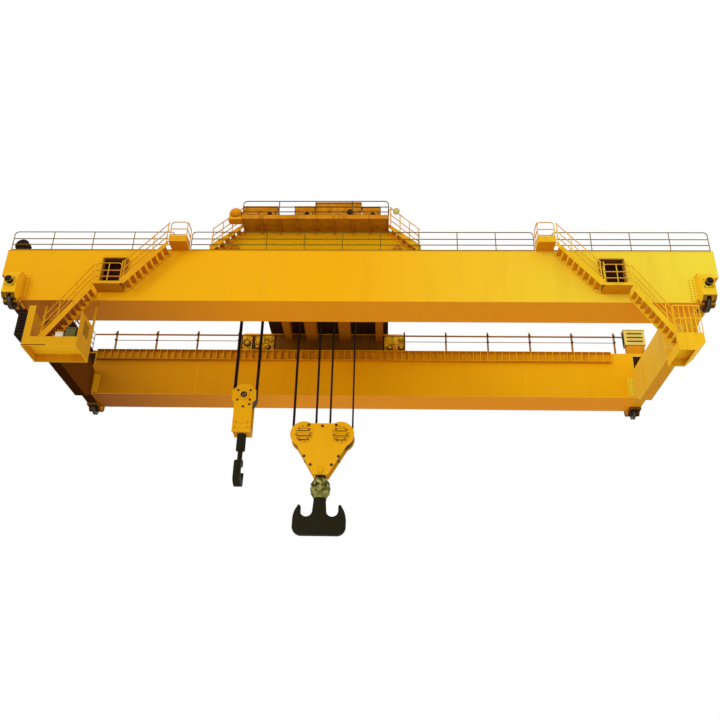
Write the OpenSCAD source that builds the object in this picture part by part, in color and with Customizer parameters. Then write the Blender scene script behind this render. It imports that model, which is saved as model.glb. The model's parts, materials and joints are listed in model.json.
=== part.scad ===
// Double-girder overhead travelling crane, millimetres.
// X runs along the girders, Y along the runway, Z is up.
// The origin is the middle of the left end carriage's underside.

/* [Bridge] */
// Distance between the centre lines of the two end carriages
span = 30600; // [24000:100:37000]
// Distance between the centre lines of the two girders, which is the trolley's gauge
gauge = 10000; // [8600:50:12000]
// Width of a girder over its webs
girder_w = 1800; // [1500:10:2200]
// Depth of a girder
girder_h = 2700; // [2200:10:3300]
// Thickness of a girder's webs
web_t = 25; // [10:1:40]
// Thickness of a girder's flanges
flange_t = 30; // [15:1:50]
// How far a girder's top runs past its bottom at each end
girder_nose = 1100; // [700:10:1200]
// Height of the notch that a girder's end is cut to, over the end carriage
cope_h = 1300; // [1100:10:1500]
// Width of an end carriage
carriage_w = 600; // [500:10:800]
// How far an end carriage's deep middle hangs below the girders
carriage_drop = 400; // [350:10:600]
// Diameter of a crane wheel
crane_wheel_d = 720; // [600:10:800]

/* [Trolley] */
// Where the trolley stands along the span, from the left end carriage
trolley_x = 13400; // [9000:100:20000]
// Half of the length of the front side frame at its foot
frame_foot = 4400; // [4200:10:5200]
// Half of the length of a side frame at its top
frame_top = 3400; // [3200:10:3700]
// How far the rear side frame runs past the front one, under the auxiliary hoist
frame_tail = 750; // [200:10:800]
// Half of the trolley's wheelbase
half_base = 3800; // [3600:10:3900]
// Height of the trolley rail
rail_h = 150; // [100:5:200]
// Diameter of a trolley wheel
trolley_wheel_d = 800; // [600:10:900]
// Height of the side frame's top above the girders
frame_rise = 1570; // [1500:10:1900]
// Width of the walkway that overhangs the front side frame
walkway_w = 1150; // [900:10:1300]

/* [Hoists] */
// Radius at which a rope runs on a main sheave
main_sheave_r = 550; // [450:10:560]
// Distance between the two main sheaves
main_pitch = 1780; // [1700:10:1900]
// Place of the main block along the trolley, from its centre
main_x = 270; // [100:10:400]
// Height of the main sheaves' centres below the girders' undersides
main_low = 4080; // [3000:10:5500]
// Radius of a main drum
main_drum_r = 600; // [500:10:650]
// Radius at which a rope runs on the auxiliary sheave
aux_sheave_r = 550; // [450:10:600]
// Place of the auxiliary block along the trolley, from its centre
aux_x = -3670; // [-3900:10:-3500]
// Height of the auxiliary sheave's centre below the girders' undersides
aux_low = 2050; // [1500:50:3000]
// Radius of the auxiliary drum
aux_drum_r = 430; // [350:10:450]
// Diameter of a hoist rope
rope_d = 70; // [30:1:80]
// Distance between the ropes that lie side by side in a sheave's grooves
rope_pitch = 160; // [130:5:170]
// Half of the ramshorn hook's width
horn_reach = 1250; // [1150:10:1400]
// Thickness of the ramshorn hook
horn_t = 440; // [350:10:500]
// Outer radius of the auxiliary hook's bend
aux_bend_r = 640; // [560:10:700]

/* [Access] */
// Width of the stairs and landings
stair_w = 750; // [600:10:900]
// Height of the handrails
rail_high = 1100; // [1000:10:1150]
// Diameter of a handrail tube
tube_d = 45; // [35:1:60]
// Width of a doorway in the front girder's web
hatch_w = 1000; // [800:10:1100]
// Height of a doorway in the front girder's web
hatch_h = 1650; // [1400:10:1750]
// Place of the left doorway's middle, from the left end carriage
left_hatch_x = 4350; // [4200:10:5500]
// Place of the right doorway's middle, from the right end carriage
right_hatch_x = 3850; // [3750:10:5500]

/* [Hidden] */
$fn = 48;

// Heights
girder_z = carriage_drop;
girder_top = girder_z + girder_h;
rail_top = girder_top + rail_h;
// How far the crane wheels' treads stand below the end carriages' undersides
tread_drop = 40;
crane_wheel_z = crane_wheel_d / 2 - tread_drop;
trolley_axle_z = rail_top + trolley_wheel_d / 2;
deck_z = girder_top + frame_rise;
carriage_top = girder_z + cope_h;

// Places
carriage_end = gauge / 2 + girder_w / 2 - 600;
girder_foot = carriage_w / 2;
girder_end = girder_foot - girder_nose;
front_y = -gauge / 2;
rear_y = gauge / 2;
front_face = front_y - girder_w / 2;
inner_face = gauge / 2 - girder_w / 2;
yellow = [0.93, 0.66, 0.05];
orange = [0.85, 0.5, 0.04];
black = [0.12, 0.1, 0.08];
steel = [0.35, 0.33, 0.28];

// Fits
axle_fit = 0.1;
rope_gap = 0.3;
// Depth of a cut past the face that it opens
past = 10;

module right_end() { translate([span, 0, 0]) mirror([1, 0, 0]) children(); }
module on_trolley() { translate([trolley_x, 0, 0]) children(); }
// A block given by its low and high corners
module block(a, b) { translate(a) cube(b - a); }
// An outline in X and Z drawn out from y0 to y1
module slab(y0, y1) { translate([0, y1, 0]) rotate([90, 0, 0]) linear_extrude(y1 - y0) children(); }
// An outline in Y and Z drawn out from x0 to x1
module rib(x0, x1) { translate([x0, 0, 0]) rotate([90, 0, 90]) linear_extrude(x1 - x0) children(); }
// A round bar from a to b
module bar(a, b, d, sides = 8) {
    v = b - a;
    l = norm(v);
    translate(a) rotate([0, acos(v[2] / l), atan2(v[1], v[0])]) cylinder(h = l, d = d, $fn = sides);
}
// Points along an arc, for an outline
function arc(cx, cz, r, a0, a1, n) = [for (k = [0 : n]) let (a = a0 + (a1 - a0) * k / n)
    [cx + r * cos(a), cz + r * sin(a)]];
function flipped(outline) = [for (k = [len(outline) - 1 : -1 : 0]) [-outline[k][0], outline[k][1]]];

// ---- girders ----
module girder_outline(inset) {
    foot = girder_foot + inset;
    nose = girder_end + inset;
    cope = carriage_top + inset;
    polygon([[foot, girder_z + inset], [span - foot, girder_z + inset],
        [span - foot, cope], [span - nose, cope],
        [span - nose, girder_top - inset], [nose, girder_top - inset],
        [nose, cope], [foot, cope]]);
}
module girder_box(y) {
    difference() {
        slab(y - girder_w / 2, y + girder_w / 2) girder_outline(0);
        slab(y - girder_w / 2 + web_t, y + girder_w / 2 - web_t) girder_outline(flange_t);
    }
}
// A doorway's sill stands one flange's lip over its landing
landing_z = girder_z + 450;
hatch_sill = 30;
hatch_z = landing_z + hatch_sill;
module doorway(x) {
    block([x - hatch_w / 2, front_face - past, hatch_z],
        [x + hatch_w / 2, front_face + web_t + past, hatch_z + hatch_h]);
}
module front_girder() color(yellow) difference() {
    girder_box(front_y);
    doorway(left_hatch_x);
    right_end() doorway(right_hatch_x);
}
module rear_girder() color(yellow) girder_box(rear_y);

// ---- trolley rails ----
rail_head = 100;
rail_foot = 160;
rail_web = 50;
rail_foot_t = 20;
rail_head_t = 40;
rail_fillet = 15;
rail_end = 400;
stop_l = 250;
stop_w = 140;
stop_h = 420;
stop_gap = 60;
rail_half = [[rail_foot / 2, 0], [rail_foot / 2, rail_foot_t], [rail_web / 2, rail_foot_t + rail_fillet],
    [rail_web / 2, rail_h - rail_head_t - rail_fillet], [rail_head / 2, rail_h - rail_head_t],
    [rail_head / 2, rail_h]];
module trolley_rail(y) {
    translate([0, y, girder_top]) {
        rib(rail_end, span - rail_end) polygon(concat(rail_half, flipped(rail_half)));
        for (x = [rail_end, span - rail_end - stop_l])
            translate([x, rail_foot / 2 + stop_gap, 0]) cube([stop_l, stop_w, stop_h]);
    }
}
module front_trolley_rail() color(steel) trolley_rail(front_y);
module rear_trolley_rail() color(steel) trolley_rail(rear_y);

// ---- end carriages ----
carriage_step = 600;
carriage_rise = 300;
carriage_t = 30;
// One side's outline of an end carriage, from its middle outwards: shallow under the girders' noses
function carriage_half(t) = [[inner_face - t - carriage_step, t], [inner_face - t, girder_z + t],
    [carriage_end - t, girder_z + t], [carriage_end - t, carriage_top - t], [inner_face - t,
        carriage_top - t],
    [inner_face - t - carriage_step, carriage_top + carriage_rise - t]];
module end_carriage() {
    w = carriage_w / 2;
    difference() {
        rib(-w, w) polygon(concat(carriage_half(0), flipped(carriage_half(0))));
        rib(-w + web_t, w - web_t) polygon(concat(carriage_half(carriage_t),
            flipped(carriage_half(carriage_t))));
    }
}
module left_end_carriage() color(yellow) end_carriage();
module right_end_carriage() color(yellow) right_end() end_carriage();

// ---- wheel boxes and crane wheels ----
axle_d = 160;
box_l = 1250;
box_plate = 40;
box_slope = 350;
box_room = 60;
crane_wheel_w = 150;
wheel_flange = 25;
buffer_d = 260;
buffer_l = 180;
buffer_pad = 60;
crane_wheel_y = carriage_end + box_l / 2 + box_plate;
module wheel_box() {
    y0 = carriage_end;
    y1 = carriage_end + box_l;
    w = carriage_w / 2;
    hub = crane_wheel_z;
    low = hub - 60;
    room = crane_wheel_w / 2 + box_room;
    difference() {
        union() {
            rib(-w, w) polygon([[y0, low], [y1 - box_slope / 2, low], [y1, low + box_slope / 2],
                [y1, carriage_top - box_slope], [y1 - box_slope, carriage_top], [y0, carriage_top]]);
            rib(-w, w) translate([crane_wheel_y, hub]) circle(r = axle_d * 1.25);
            translate([0, y1 - 1, carriage_top - 2 * box_slope]) rotate([-90, 0, 0]) {
                cylinder(h = buffer_l, d = buffer_d);
                translate([0, 0, buffer_l - 1]) cylinder(h = buffer_pad, d = buffer_d * 1.3);
            }
        }
        block([-room, y0 + box_plate, -crane_wheel_d],
            [room, y1 - box_plate, hub + crane_wheel_d / 2 + wheel_flange + box_room]);
        rib(-2 * w, 2 * w) translate([crane_wheel_y, hub]) circle(d = axle_d + 2 * axle_fit);
    }
}
// Half of a wheel's turned outline: axle, hub face, flange and tread
function wheel_half(axle_r, reach, r, w, f) = [[axle_r, reach], [axle_r, w], [r + f, w], [r + f, w - f],
    [r, w - f - 5]];
module wheel_turned(axle_r, reach, r, w, f) {
    h = wheel_half(axle_r, reach, r, w, f);
    rotate_extrude() polygon(concat([[0, reach]], h, [for (k = [len(h) - 1 : -1 : 0]) [h[k][0], -h[k][1]]],
        [[0, -reach]]));
}
module crane_wheel() {
    translate([0, crane_wheel_y, crane_wheel_z]) rotate([0, 90, 0])
        wheel_turned(axle_d / 2, carriage_w / 2 - 10, crane_wheel_d / 2, crane_wheel_w / 2, wheel_flange);
}
module to_front() { mirror([0, 1, 0]) children(); }
module front_left_wheel_box() color(yellow) to_front() wheel_box();
module front_right_wheel_box() color(yellow) to_front() right_end() wheel_box();
module rear_left_wheel_box() color(yellow) wheel_box();
module rear_right_wheel_box() color(yellow) right_end() wheel_box();
module front_left_crane_wheel() color(steel) to_front() crane_wheel();
module front_right_crane_wheel() color(steel) to_front() right_end() crane_wheel();
module rear_left_crane_wheel() color(steel) crane_wheel();
module rear_right_crane_wheel() color(steel) right_end() crane_wheel();

// ---- handrails ----
rail_mid = 0.63;
rail_low = 0.34;
rail_bend = 180;
kick_h = 110;
kick_t = 8;
// A run of handrail along X from x0 to x1, standing on z: its two end posts bend over into the top rail
module handrail(x0, x1, y, z, bays, high = rail_high, kick = true) {
    r = tube_d / 2;
    for (k = [1 : bays - 1])
        translate([x0 + (x1 - x0) * k / bays, y, z]) cylinder(h = high - r, d = tube_d, $fn = 8);
    for (x = [x0 + r, x1 - r]) translate([x, y, z]) cylinder(h = high - rail_bend - r + 1,
        d = tube_d, $fn = 8);
    for (s = [0, 1]) translate([s ? x1 - r - rail_bend : x0 + r + rail_bend, y, z + high - r - rail_bend])
        mirror([1 - s, 0, 0]) rotate([90, 0, 0])
            rotate_extrude(angle = 90, $fn = 32) translate([rail_bend, 0]) circle(d = tube_d, $fn = 8);
    translate([x0 + r + rail_bend - 1, y, z + high - r]) rotate([0, 90, 0])
        cylinder(h = x1 - x0 - 2 * (r + rail_bend) + 2, d = tube_d, $fn = 8);
    for (h = [rail_mid, rail_low] * high)
        translate([x0 + r, y, z + h]) rotate([0, 90, 0]) cylinder(h = x1 - x0 - tube_d,
            d = tube_d, $fn = 8);
    if (kick) block([x0, y - kick_t / 2, z], [x1, y + kick_t / 2, z + kick_h]);
}
edge = 70;
landing_l = 800;
flight_run = 1900;
deck_land_l = 1200;
// Where a side's upper landing starts, from that side's end carriage
function upper_x(hx) = hx + deck_land_l / 2 + flight_run;
left_upper = upper_x(left_hatch_x);
right_upper = upper_x(right_hatch_x);
module front_handrail() color(yellow) {
    y = front_face + edge;
    handrail(girder_end + edge, left_upper, y, girder_top, 4);
    handrail(left_upper + landing_l, span - right_upper - landing_l, y, girder_top, 9);
    handrail(span - right_upper, span - girder_end - edge, y, girder_top, 4);
}
// Walkway over the left end carriage, from girder to girder
end_walk_t = 60;
module left_end_walkway() color(yellow) {
    x0 = girder_end + edge;
    block([x0, -inner_face, girder_top - end_walk_t], [0, inner_face, girder_top]);
    for (x = [x0 + edge, -edge]) rotate([0, 0, 90])
        handrail(-inner_face, inner_face, -x, girder_top, 5);
}
// Reel of the trolley's cable, on the front girder's left end
reel_r = 330;
reel_w = 300;
reel_x = girder_end + 2 * edge + reel_r;
module cable_reel() color(black) {
    y = front_face + 3 * edge + reel_w / 2;
    z = girder_top + reel_r + 90;
    h = reel_w / 2;
    translate([reel_x, y, z]) rotate([90, 0, 0]) rotate_extrude()
        polygon([[0, -h], [reel_r, -h], [reel_r, -h + kick_t * 3], [reel_r * 0.8, -h + kick_t * 3],
            [reel_r * 0.8, h - kick_t * 3], [reel_r, h - kick_t * 3], [reel_r, h], [0, h]]);
    for (s = [-1, 1]) slab(y + s * (h + 30) - 29, y + s * (h + 30) + 29)
        polygon([[reel_x - reel_r * 0.7, girder_top], [reel_x + reel_r * 0.7, girder_top],
            [reel_x + axle_d / 2, z + axle_d / 2], [reel_x - axle_d / 2, z + axle_d / 2]]);
    translate([reel_x, y + h + 59, z]) rotate([90, 0, 0]) cylinder(h = reel_w + 118, d = axle_d / 2);
}

// ---- bracket band and supply line on the rear girder ----
band_h = 600;
band_out = 220;
band_pitch = 400;
band_t = 20;
band_short = 1400;
module rear_rib_band() color(orange) {
    y = inner_face;
    x0 = girder_foot;
    x1 = span - band_short;
    ribs = round((x1 - x0) / band_pitch);
    for (z = [girder_top - band_t, girder_top - band_h]) block([x0, y - band_out, z], [x1, y, z + band_t]);
    for (k = [0 : ribs]) translate([x0 + (x1 - x0 - band_t) * k / ribs, y - band_out,
        girder_top - band_h + 1])
        cube([band_t, band_out, band_h - 2]);
}
supply_h = 2000;
supply_w = 70;
supply_posts = 13;
post_w = 100;
post_past = 250;
module rear_supply_line() color(orange) {
    y = rear_y + girder_w / 2 - 120;
    z = girder_top;
    x0 = girder_foot + 200;
    block([girder_end + edge, y - supply_w / 2, z + supply_h - supply_w],
        [span - girder_end - edge, y + supply_w / 2, z + supply_h]);
    for (k = [0 : supply_posts - 1])
        translate([x0 + (span - 2 * x0 - post_w) * k / (supply_posts - 1), y + supply_w / 2, z])
            cube([post_w, supply_w, supply_h + post_past]);
}

// ---- doorways, landings and stairs on the front girder ----
guard_t = 60;
guard_out = 180;
// A frame round the doorway, its sill a little over the landing
module hatch_guard(x) {
    y = front_face;
    w = hatch_w / 2;
    difference() {
        block([x - w - guard_t, y - guard_out, landing_z], [x + w + guard_t, y,
            hatch_z + hatch_h + guard_t]);
        block([x - w, y - guard_out - past, landing_z - past], [x + w, y + past, hatch_z + hatch_h]);
    }
    block([x - w - guard_t, y - guard_out, hatch_z - hatch_sill], [x + w + guard_t, y, hatch_z]);
}
module left_hatch_guard() color(yellow) hatch_guard(left_hatch_x);
module right_hatch_guard() color(yellow) right_end() hatch_guard(right_hatch_x);

tray_t = 12;
landing_lip = 120;
upper_lip = 300;
platform_z = girder_z - 2450;
stair_y = front_face - stair_w;
// A floor tray with an edge plate on its outer side and, where wanted, at either end
module tray(x0, x1, z, lip, closed) {
    block([x0, stair_y, z - tray_t], [x1, front_face, z]);
    block([x0, stair_y, z - tray_t], [x1, stair_y + tray_t, z + lip]);
    if (closed) block([x1 - tray_t, stair_y, z - tray_t], [x1, front_face, z + lip]);
}
module landings(hx) {
    xa = hx - deck_land_l / 2;
    xb = hx + deck_land_l / 2;
    tray(xa, xb, landing_z, landing_lip, false);
    handrail(xa, xb, stair_y + tube_d, landing_z, 2, rail_high, false);
    ta = upper_x(hx);
    tb = ta + landing_l;
    r = tube_d / 2;
    tray(ta, tb, girder_top, upper_lip, true);
    handrail(ta, tb, stair_y + tube_d, girder_top, 1, rail_high, false);
    for (h = [rail_low, rail_mid, 1] * rail_high)
        bar([tb - r, stair_y + tube_d, girder_top + h - r], [tb - r, front_face - tube_d,
            girder_top + h - r], tube_d);
    bar([tb - r, front_face - tube_d, girder_top], [tb - r, front_face - tube_d,
        girder_top + rail_high], tube_d);
}
module left_landings() color(yellow) landings(left_hatch_x);
module right_landings() color(yellow) right_end() landings(right_hatch_x);

// A flight from (xa, za) up to (xb, zb), with its stringers, treads and a handrail on its outer side
stringer_h = 260;
stringer_foot = 180;
tread_rise = 240;
tread_w = 230;
tread_t = 20;
module flight(xa, za, xb, zb, y0, y1) {
    treads = max(2, round((zb - za) / tread_rise));
    run = xb - xa;
    rise = zb - za;
    for (y = [y0, y1 - tray_t])
        slab(y, y + tray_t) polygon([[xa, za], [xa + stringer_foot, za], [xb,
            zb - stringer_foot * rise / run],
            [xb, zb], [xb - tube_d, zb], [xa, za + stringer_h]]);
    for (k = [1 : treads - 1])
        translate([xa + run * k / treads - tread_w / 2, y0 + tray_t, za + rise * k / treads - tread_t])
            cube([tread_w, y1 - y0 - 2 * tray_t, tread_t]);
    y = y0 + tray_t / 2;
    for (h = [rail_low, rail_mid, 1] * rail_high)
        bar([xa + tube_d, y, za + h + tube_d], [xb - tube_d, y, zb + h - 2 * tube_d], tube_d);
    for (k = [0 : 3]) {
        x = xa + 2 * tube_d + (run - 4 * tube_d) * k / 3;
        z = za + rise * (x - xa) / run;
        bar([x, y, z - tube_d], [x, y, z + rail_high], tube_d);
    }
}
// A side's two flights: platform to doorway, and doorway to the girder's top
module stair(hx) {
    y1 = front_face - 15;
    xa = hx - deck_land_l / 2;
    xb = hx + deck_land_l / 2;
    flight(xa - flight_run, platform_z, xa, landing_z, stair_y, y1);
    flight(xb, landing_z, xb + flight_run, girder_top, stair_y, y1);
}
module left_stair() color(yellow) stair(left_hatch_x);
module right_stair() color(yellow) right_end() stair(right_hatch_x);

// ---- boarding platforms ----
apron = 400;
plat_t = 30;
plat_y0 = stair_y - 300;
plat_y1 = front_face + 500;
hanger_w = 80;
wall_h = 1550;
// A deep tray with a floor, hung from the girder's underside by two posts
module boarding_tray(x0, x1, upstand) {
    z0 = platform_z - apron;
    difference() {
        block([x0, plat_y0, z0], [x1, plat_y1, platform_z + upstand]);
        block([x0 + plat_t, plat_y0 + plat_t, platform_z], [x1 - plat_t, plat_y1 - plat_t,
            platform_z + upstand + 1]);
        block([x0 + plat_t, plat_y0 + plat_t, z0 - 1], [x1 - plat_t, plat_y1 - plat_t,
            platform_z - plat_t]);
    }
    for (x = [x0, x1 - hanger_w])
        block([x, plat_y1 - hanger_w, z0 + plat_t], [x + hanger_w, plat_y1, girder_z]);
}
// Left platform: end walls with a short return each, and a barred window in the right one
left_plat_x = 1350;
left_plat_l = 2350;
return_l = 300;
window_w = 600;
window_h = 700;
module left_boarding_platform() color(yellow) {
    x1 = left_plat_x + left_plat_l;
    top = platform_z + wall_h;
    yw = (plat_y0 + plat_y1) / 2;
    zw = platform_z + wall_h / 2;
    boarding_tray(left_plat_x, x1, tube_d);
    block([left_plat_x, plat_y0, platform_z], [left_plat_x + plat_t, plat_y1, top]);
    block([left_plat_x, plat_y0, platform_z], [left_plat_x + return_l, plat_y0 + plat_t, top]);
    difference() {
        block([x1 - plat_t, plat_y0, platform_z], [x1, plat_y1, top - stringer_h]);
        block([x1 - plat_t - 1, yw - window_w / 2, zw - window_h / 2], [x1 + 1, yw + window_w / 2,
            zw + window_h / 2]);
    }
    for (k = [1 : 4]) {
        y = yw - window_w / 2 + window_w * k / 5;
        bar([x1 - plat_t / 2, y, zw - window_h / 2 - 1], [x1 - plat_t / 2, y, zw + window_h / 2 + 1],
            tube_d / 2);
    }
}
// Right platform: a deep chamfered tray under a cage of upright bars, open to the stair
right_plat_x = 760;
right_plat_l = 1100;
right_sill = 400;
cage_h = 1720;
tray_bend = 60;
cage_rail = 60;
module right_cage() {
    x0 = right_plat_x;
    x1 = right_plat_x + right_plat_l;
    z0 = platform_z - apron;
    gate = stair_y - 2 * tube_d;
    sill = platform_z + right_sill;
    // The tray's outer lower edge is cut off at a slope, and its inner wall is open where the stair leaves
    difference() {
        slab(plat_y0, plat_y1)
            polygon([[x0, sill], [x1, sill], [x1, z0], [x0 + apron, z0], [x0, platform_z - tray_bend]]);
        block([x0 + plat_t, plat_y0 + plat_t, platform_z], [x1 - plat_t, plat_y1 - plat_t, sill + 1]);
        slab(plat_y0 + plat_t, plat_y1 - plat_t)
            polygon([[x0 + tray_bend, platform_z - tray_bend], [x1 - plat_t, platform_z - tray_bend],
                [x1 - plat_t, z0 - 1], [x0 + apron + tray_bend, z0 - 1]]);
        block([x1 - plat_t - 1, gate, platform_z], [x1 + past, plat_y1 + past, sill + 1]);
    }
    block([x1 - plat_t, plat_y0, sill - 1], [x1, gate, platform_z + cage_h]);
    for (x = [x0, x1 - hanger_w])
        block([x, plat_y1 - hanger_w, sill - plat_t], [x + hanger_w, plat_y1, girder_z]);
    bars = 6;
    mid_x = x0 + plat_t / 2;
    mid_y = plat_y0 + plat_t / 2;
    top = platform_z + cage_h;
    for (k = [0 : bars - 2]) {
        x = mid_x + (x1 - x0 - plat_t) * k / (bars - 1);
        bar([x, mid_y, sill - 1], [x, mid_y, top - 1], tube_d);
    }
    for (k = [1 : bars - 2]) {
        y = mid_y + (plat_y1 - plat_y0 - plat_t) * k / (bars - 1);
        bar([mid_x, y, sill - 1], [mid_x, y, top - 1], tube_d);
    }
    for (z = [(sill + top) / 2, top - tube_d]) {
        block([mid_x - cage_rail / 2, mid_y - cage_rail / 2, z], [x1 - 1, mid_y + cage_rail / 2,
            z + tube_d]);
        block([mid_x - cage_rail / 2, mid_y, z], [mid_x + cage_rail / 2, plat_y1 - 1, z + tube_d]);
    }
}
module right_boarding_platform() color(yellow) right_end() right_cage();
// Resistors in a louvred box on the left platform's end
box_w = 400;
box_d = 750;
box_high = 1100;
louvres = 7;
louvre_h = 60;
module resistor_box() color(black) {
    x0 = left_plat_x - box_w;
    z0 = platform_z + louvre_h * 2;
    step = box_high / (louvres + 1);
    difference() {
        block([x0, plat_y0, z0], [left_plat_x, plat_y0 + box_d, z0 + box_high]);
        for (k = [1 : louvres])
            block([x0 + louvre_h, plat_y0 - 1, z0 + step * k - louvre_h / 2],
                [left_plat_x - louvre_h, plat_y0 + louvre_h, z0 + step * k + louvre_h / 2]);
    }
}

// ---- trolley ----
frame_w = 420;
frame_plate = 30;
frame_z = rail_top + 120;
frame_toe = 350;
trolley_wheel_w = 150;
wheel_room = 60;
wheel_side = 45;
trolley_axle_d = 130;
deck_t = 30;
frame_z1 = deck_z - deck_t;
module side_frame(y) {
    difference() {
        slab(y - frame_w / 2, y + frame_w / 2) children();
        for (s = [-1, 1]) {
            block([s * half_base - trolley_wheel_d / 2 - wheel_room,
                y - trolley_wheel_w / 2 - wheel_side, frame_z - 1],
                [s * half_base + trolley_wheel_d / 2 + wheel_room, y + trolley_wheel_w / 2 + wheel_side,
                trolley_axle_z + trolley_wheel_d / 2 + wheel_room]);
            translate([s * half_base, y - frame_w, trolley_axle_z]) rotate([-90, 0, 0])
                cylinder(h = 2 * frame_w, d = trolley_axle_d + 2 * axle_fit);
        }
        // The box is hollow between its wheels
        reach = half_base - trolley_wheel_d / 2 - wheel_room - frame_w;
        block([-reach, y - frame_w / 2 + frame_plate, frame_z + frame_plate],
            [reach, y + frame_w / 2 - frame_plate, frame_z1 - frame_plate]);
    }
}
module front_side_frame() color(yellow) on_trolley() side_frame(front_y)
    polygon([[-frame_foot, frame_z], [frame_foot, frame_z], [frame_foot, frame_z + frame_toe],
        [frame_top, frame_z1], [-frame_top, frame_z1], [-frame_foot, frame_z + frame_toe]]);
// The rear frame keeps its full height to its ends, whose upper corners are cut off
corner = 200;
module rear_side_frame() color(yellow) on_trolley() side_frame(rear_y) {
    x0 = -frame_foot - frame_tail;
    polygon([[x0, frame_z], [frame_foot, frame_z], [frame_foot, frame_z1 - corner],
        [frame_foot - corner, frame_z1], [x0 + corner, frame_z1], [x0, frame_z1 - corner]]);
}

module trolley_wheel(x, y) {
    on_trolley() translate([x, y, trolley_axle_z]) rotate([90, 0, 0])
        wheel_turned(trolley_axle_d / 2, frame_w / 2 + 30, trolley_wheel_d / 2 - rope_gap,
            trolley_wheel_w / 2 + 20, wheel_flange);
}
module front_left_trolley_wheel() color(steel) trolley_wheel(-half_base, front_y);
module front_right_trolley_wheel() color(steel) trolley_wheel(half_base, front_y);
module rear_left_trolley_wheel() color(steel) trolley_wheel(-half_base, rear_y);
module rear_right_trolley_wheel() color(steel) trolley_wheel(half_base, rear_y);

// Falls of rope: each is four ropes, one behind the other
main_falls = [for (s = [-1, 1], t = [-1, 1]) main_x + s * main_pitch / 2 + t * main_sheave_r];
aux_falls = [aux_x - aux_sheave_r, aux_x + aux_sheave_r];
rope_lanes = [-1.5, -0.5, 0.5, 1.5] * rope_pitch;
sheave_half = 2 * rope_pitch;
deck_in = gauge / 2 - frame_w / 2;
deck_out = gauge / 2 + frame_w / 2;
aux_ledge = -5250;
ledge_y = 2200;
fall_slot = [320, 2 * sheave_half + 60];
drum_z = deck_z + 1050;
aux_drum_z = deck_z + 750;
module trolley_deck() color(orange) on_trolley() {
    translate([0, 0, deck_z - deck_t]) linear_extrude(deck_t) difference() {
        polygon([[-frame_top, -deck_out], [frame_top, -deck_out], [frame_top, deck_out], [-frame_top,
            deck_out],
            [-frame_top, ledge_y], [aux_ledge, ledge_y], [aux_ledge, -ledge_y], [-frame_top, -ledge_y]]);
        for (x = concat(main_falls, aux_falls)) translate([x, 0]) square(fall_slot, center = true);
    }
}
// Beams below the deck: two whole ones at its ends, and between them short ones round the ropes' well
beam_h = 560;
beam_w = 420;
beam_t = 25;
beam_x = [-2300, 2900];
short_beam_w = 650;
short_beam_x = [-950, 950];
well_y = 1000;
edge_beam_w = 200;
edge_beam_h = 300;
// Half of the section of a rolled beam, its top against the deck's plate
function beam_half(w, h) = [[w / 2, -h], [w / 2, beam_t - h], [beam_t / 2, beam_t - h],
    [beam_t / 2, -beam_t],
    [w / 2, -beam_t], [w / 2, 0]];
module cross_beam(x, y0, y1, w) {
    translate([x, 0, deck_z - deck_t]) slab(y0, y1) polygon(concat(beam_half(w, beam_h),
        flipped(beam_half(w, beam_h))));
}
module trolley_cross_beams() color(orange) on_trolley() {
    for (x = beam_x) cross_beam(x, -deck_in, deck_in, beam_w);
    for (s = [-1, 1]) {
        translate([0, s * well_y, deck_z - deck_t]) rib(beam_x[0] + beam_t / 2, beam_x[1] - beam_t / 2)
            translate([-beam_t, -beam_h]) square([2 * beam_t, beam_h]);
        for (x = short_beam_x) cross_beam(x, s > 0 ? well_y + beam_t : -deck_in,
            s > 0 ? deck_in : -well_y - beam_t,
            short_beam_w);
    }
    for (y = [-ledge_y, ledge_y - edge_beam_w])
        block([aux_ledge, y, deck_z - deck_t - edge_beam_h],
            [beam_x[0] - beam_t / 2, y + edge_beam_w, deck_z - deck_t]);
}
walk_y1 = front_y - frame_w / 2;
walk_y0 = walk_y1 - walkway_w;
walk_brackets = 8;
bracket_t = 20;
module trolley_walkway() color(orange) on_trolley() {
    block([-frame_top, walk_y0, deck_z - deck_t], [frame_top, walk_y1, deck_z]);
    block([-frame_top, walk_y0, deck_z - kick_h], [frame_top, walk_y0 + tray_t, deck_z + kick_h]);
    for (k = [0 : walk_brackets]) {
        x = -frame_top + (2 * frame_top - bracket_t) * k / walk_brackets;
        rib(x, x + bracket_t) polygon([[walk_y0 + tray_t - 1, deck_z - deck_t + 1], [walk_y1,
            deck_z - deck_t + 1],
            [walk_y1, deck_z - 2 * kick_h], [walk_y0 + tray_t - 1, deck_z - kick_h]]);
    }
}
trolley_rail_high = 960;
module trolley_handrail() color(yellow) on_trolley() for (y = [walk_y0 + edge, deck_out - edge])
    handrail(-frame_top, frame_top, y, deck_z, 4, trolley_rail_high, false);
stair_step = 480;
module trolley_stair() {
    flight(-frame_foot - stair_step, girder_top + rail_h, -frame_top, deck_z,
        front_face + 2 * edge, front_y - frame_w / 2 - edge);
}
module left_trolley_stair() color(yellow) on_trolley() trolley_stair();
module right_trolley_stair() color(yellow) on_trolley() mirror([1, 0, 0]) trolley_stair();

// Cabinets and resistor housings along the walkway: left end, right end, depth, height
cabinets = [[-frame_top, -1800, 600, 600], [-1000, -60, 600, 600], [0, 2100, 700, 830],
    [2150, 3000, 600, 580]];
cabinet_gap = 250;
module control_cabinet() color(orange) on_trolley() for (c = cabinets) {
    y0 = walk_y0 + cabinet_gap;
    difference() {
        block([c[0], y0, deck_z], [c[1], y0 + c[2], deck_z + c[3]]);
        translate([c[1] - c[3] * 0.6, y0 - 1, deck_z + c[3] * 0.55]) rotate([-90, 0, 0])
            cylinder(h = axle_d / 2, d = c[3] * 0.4, $fn = 24);
    }
}

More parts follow.
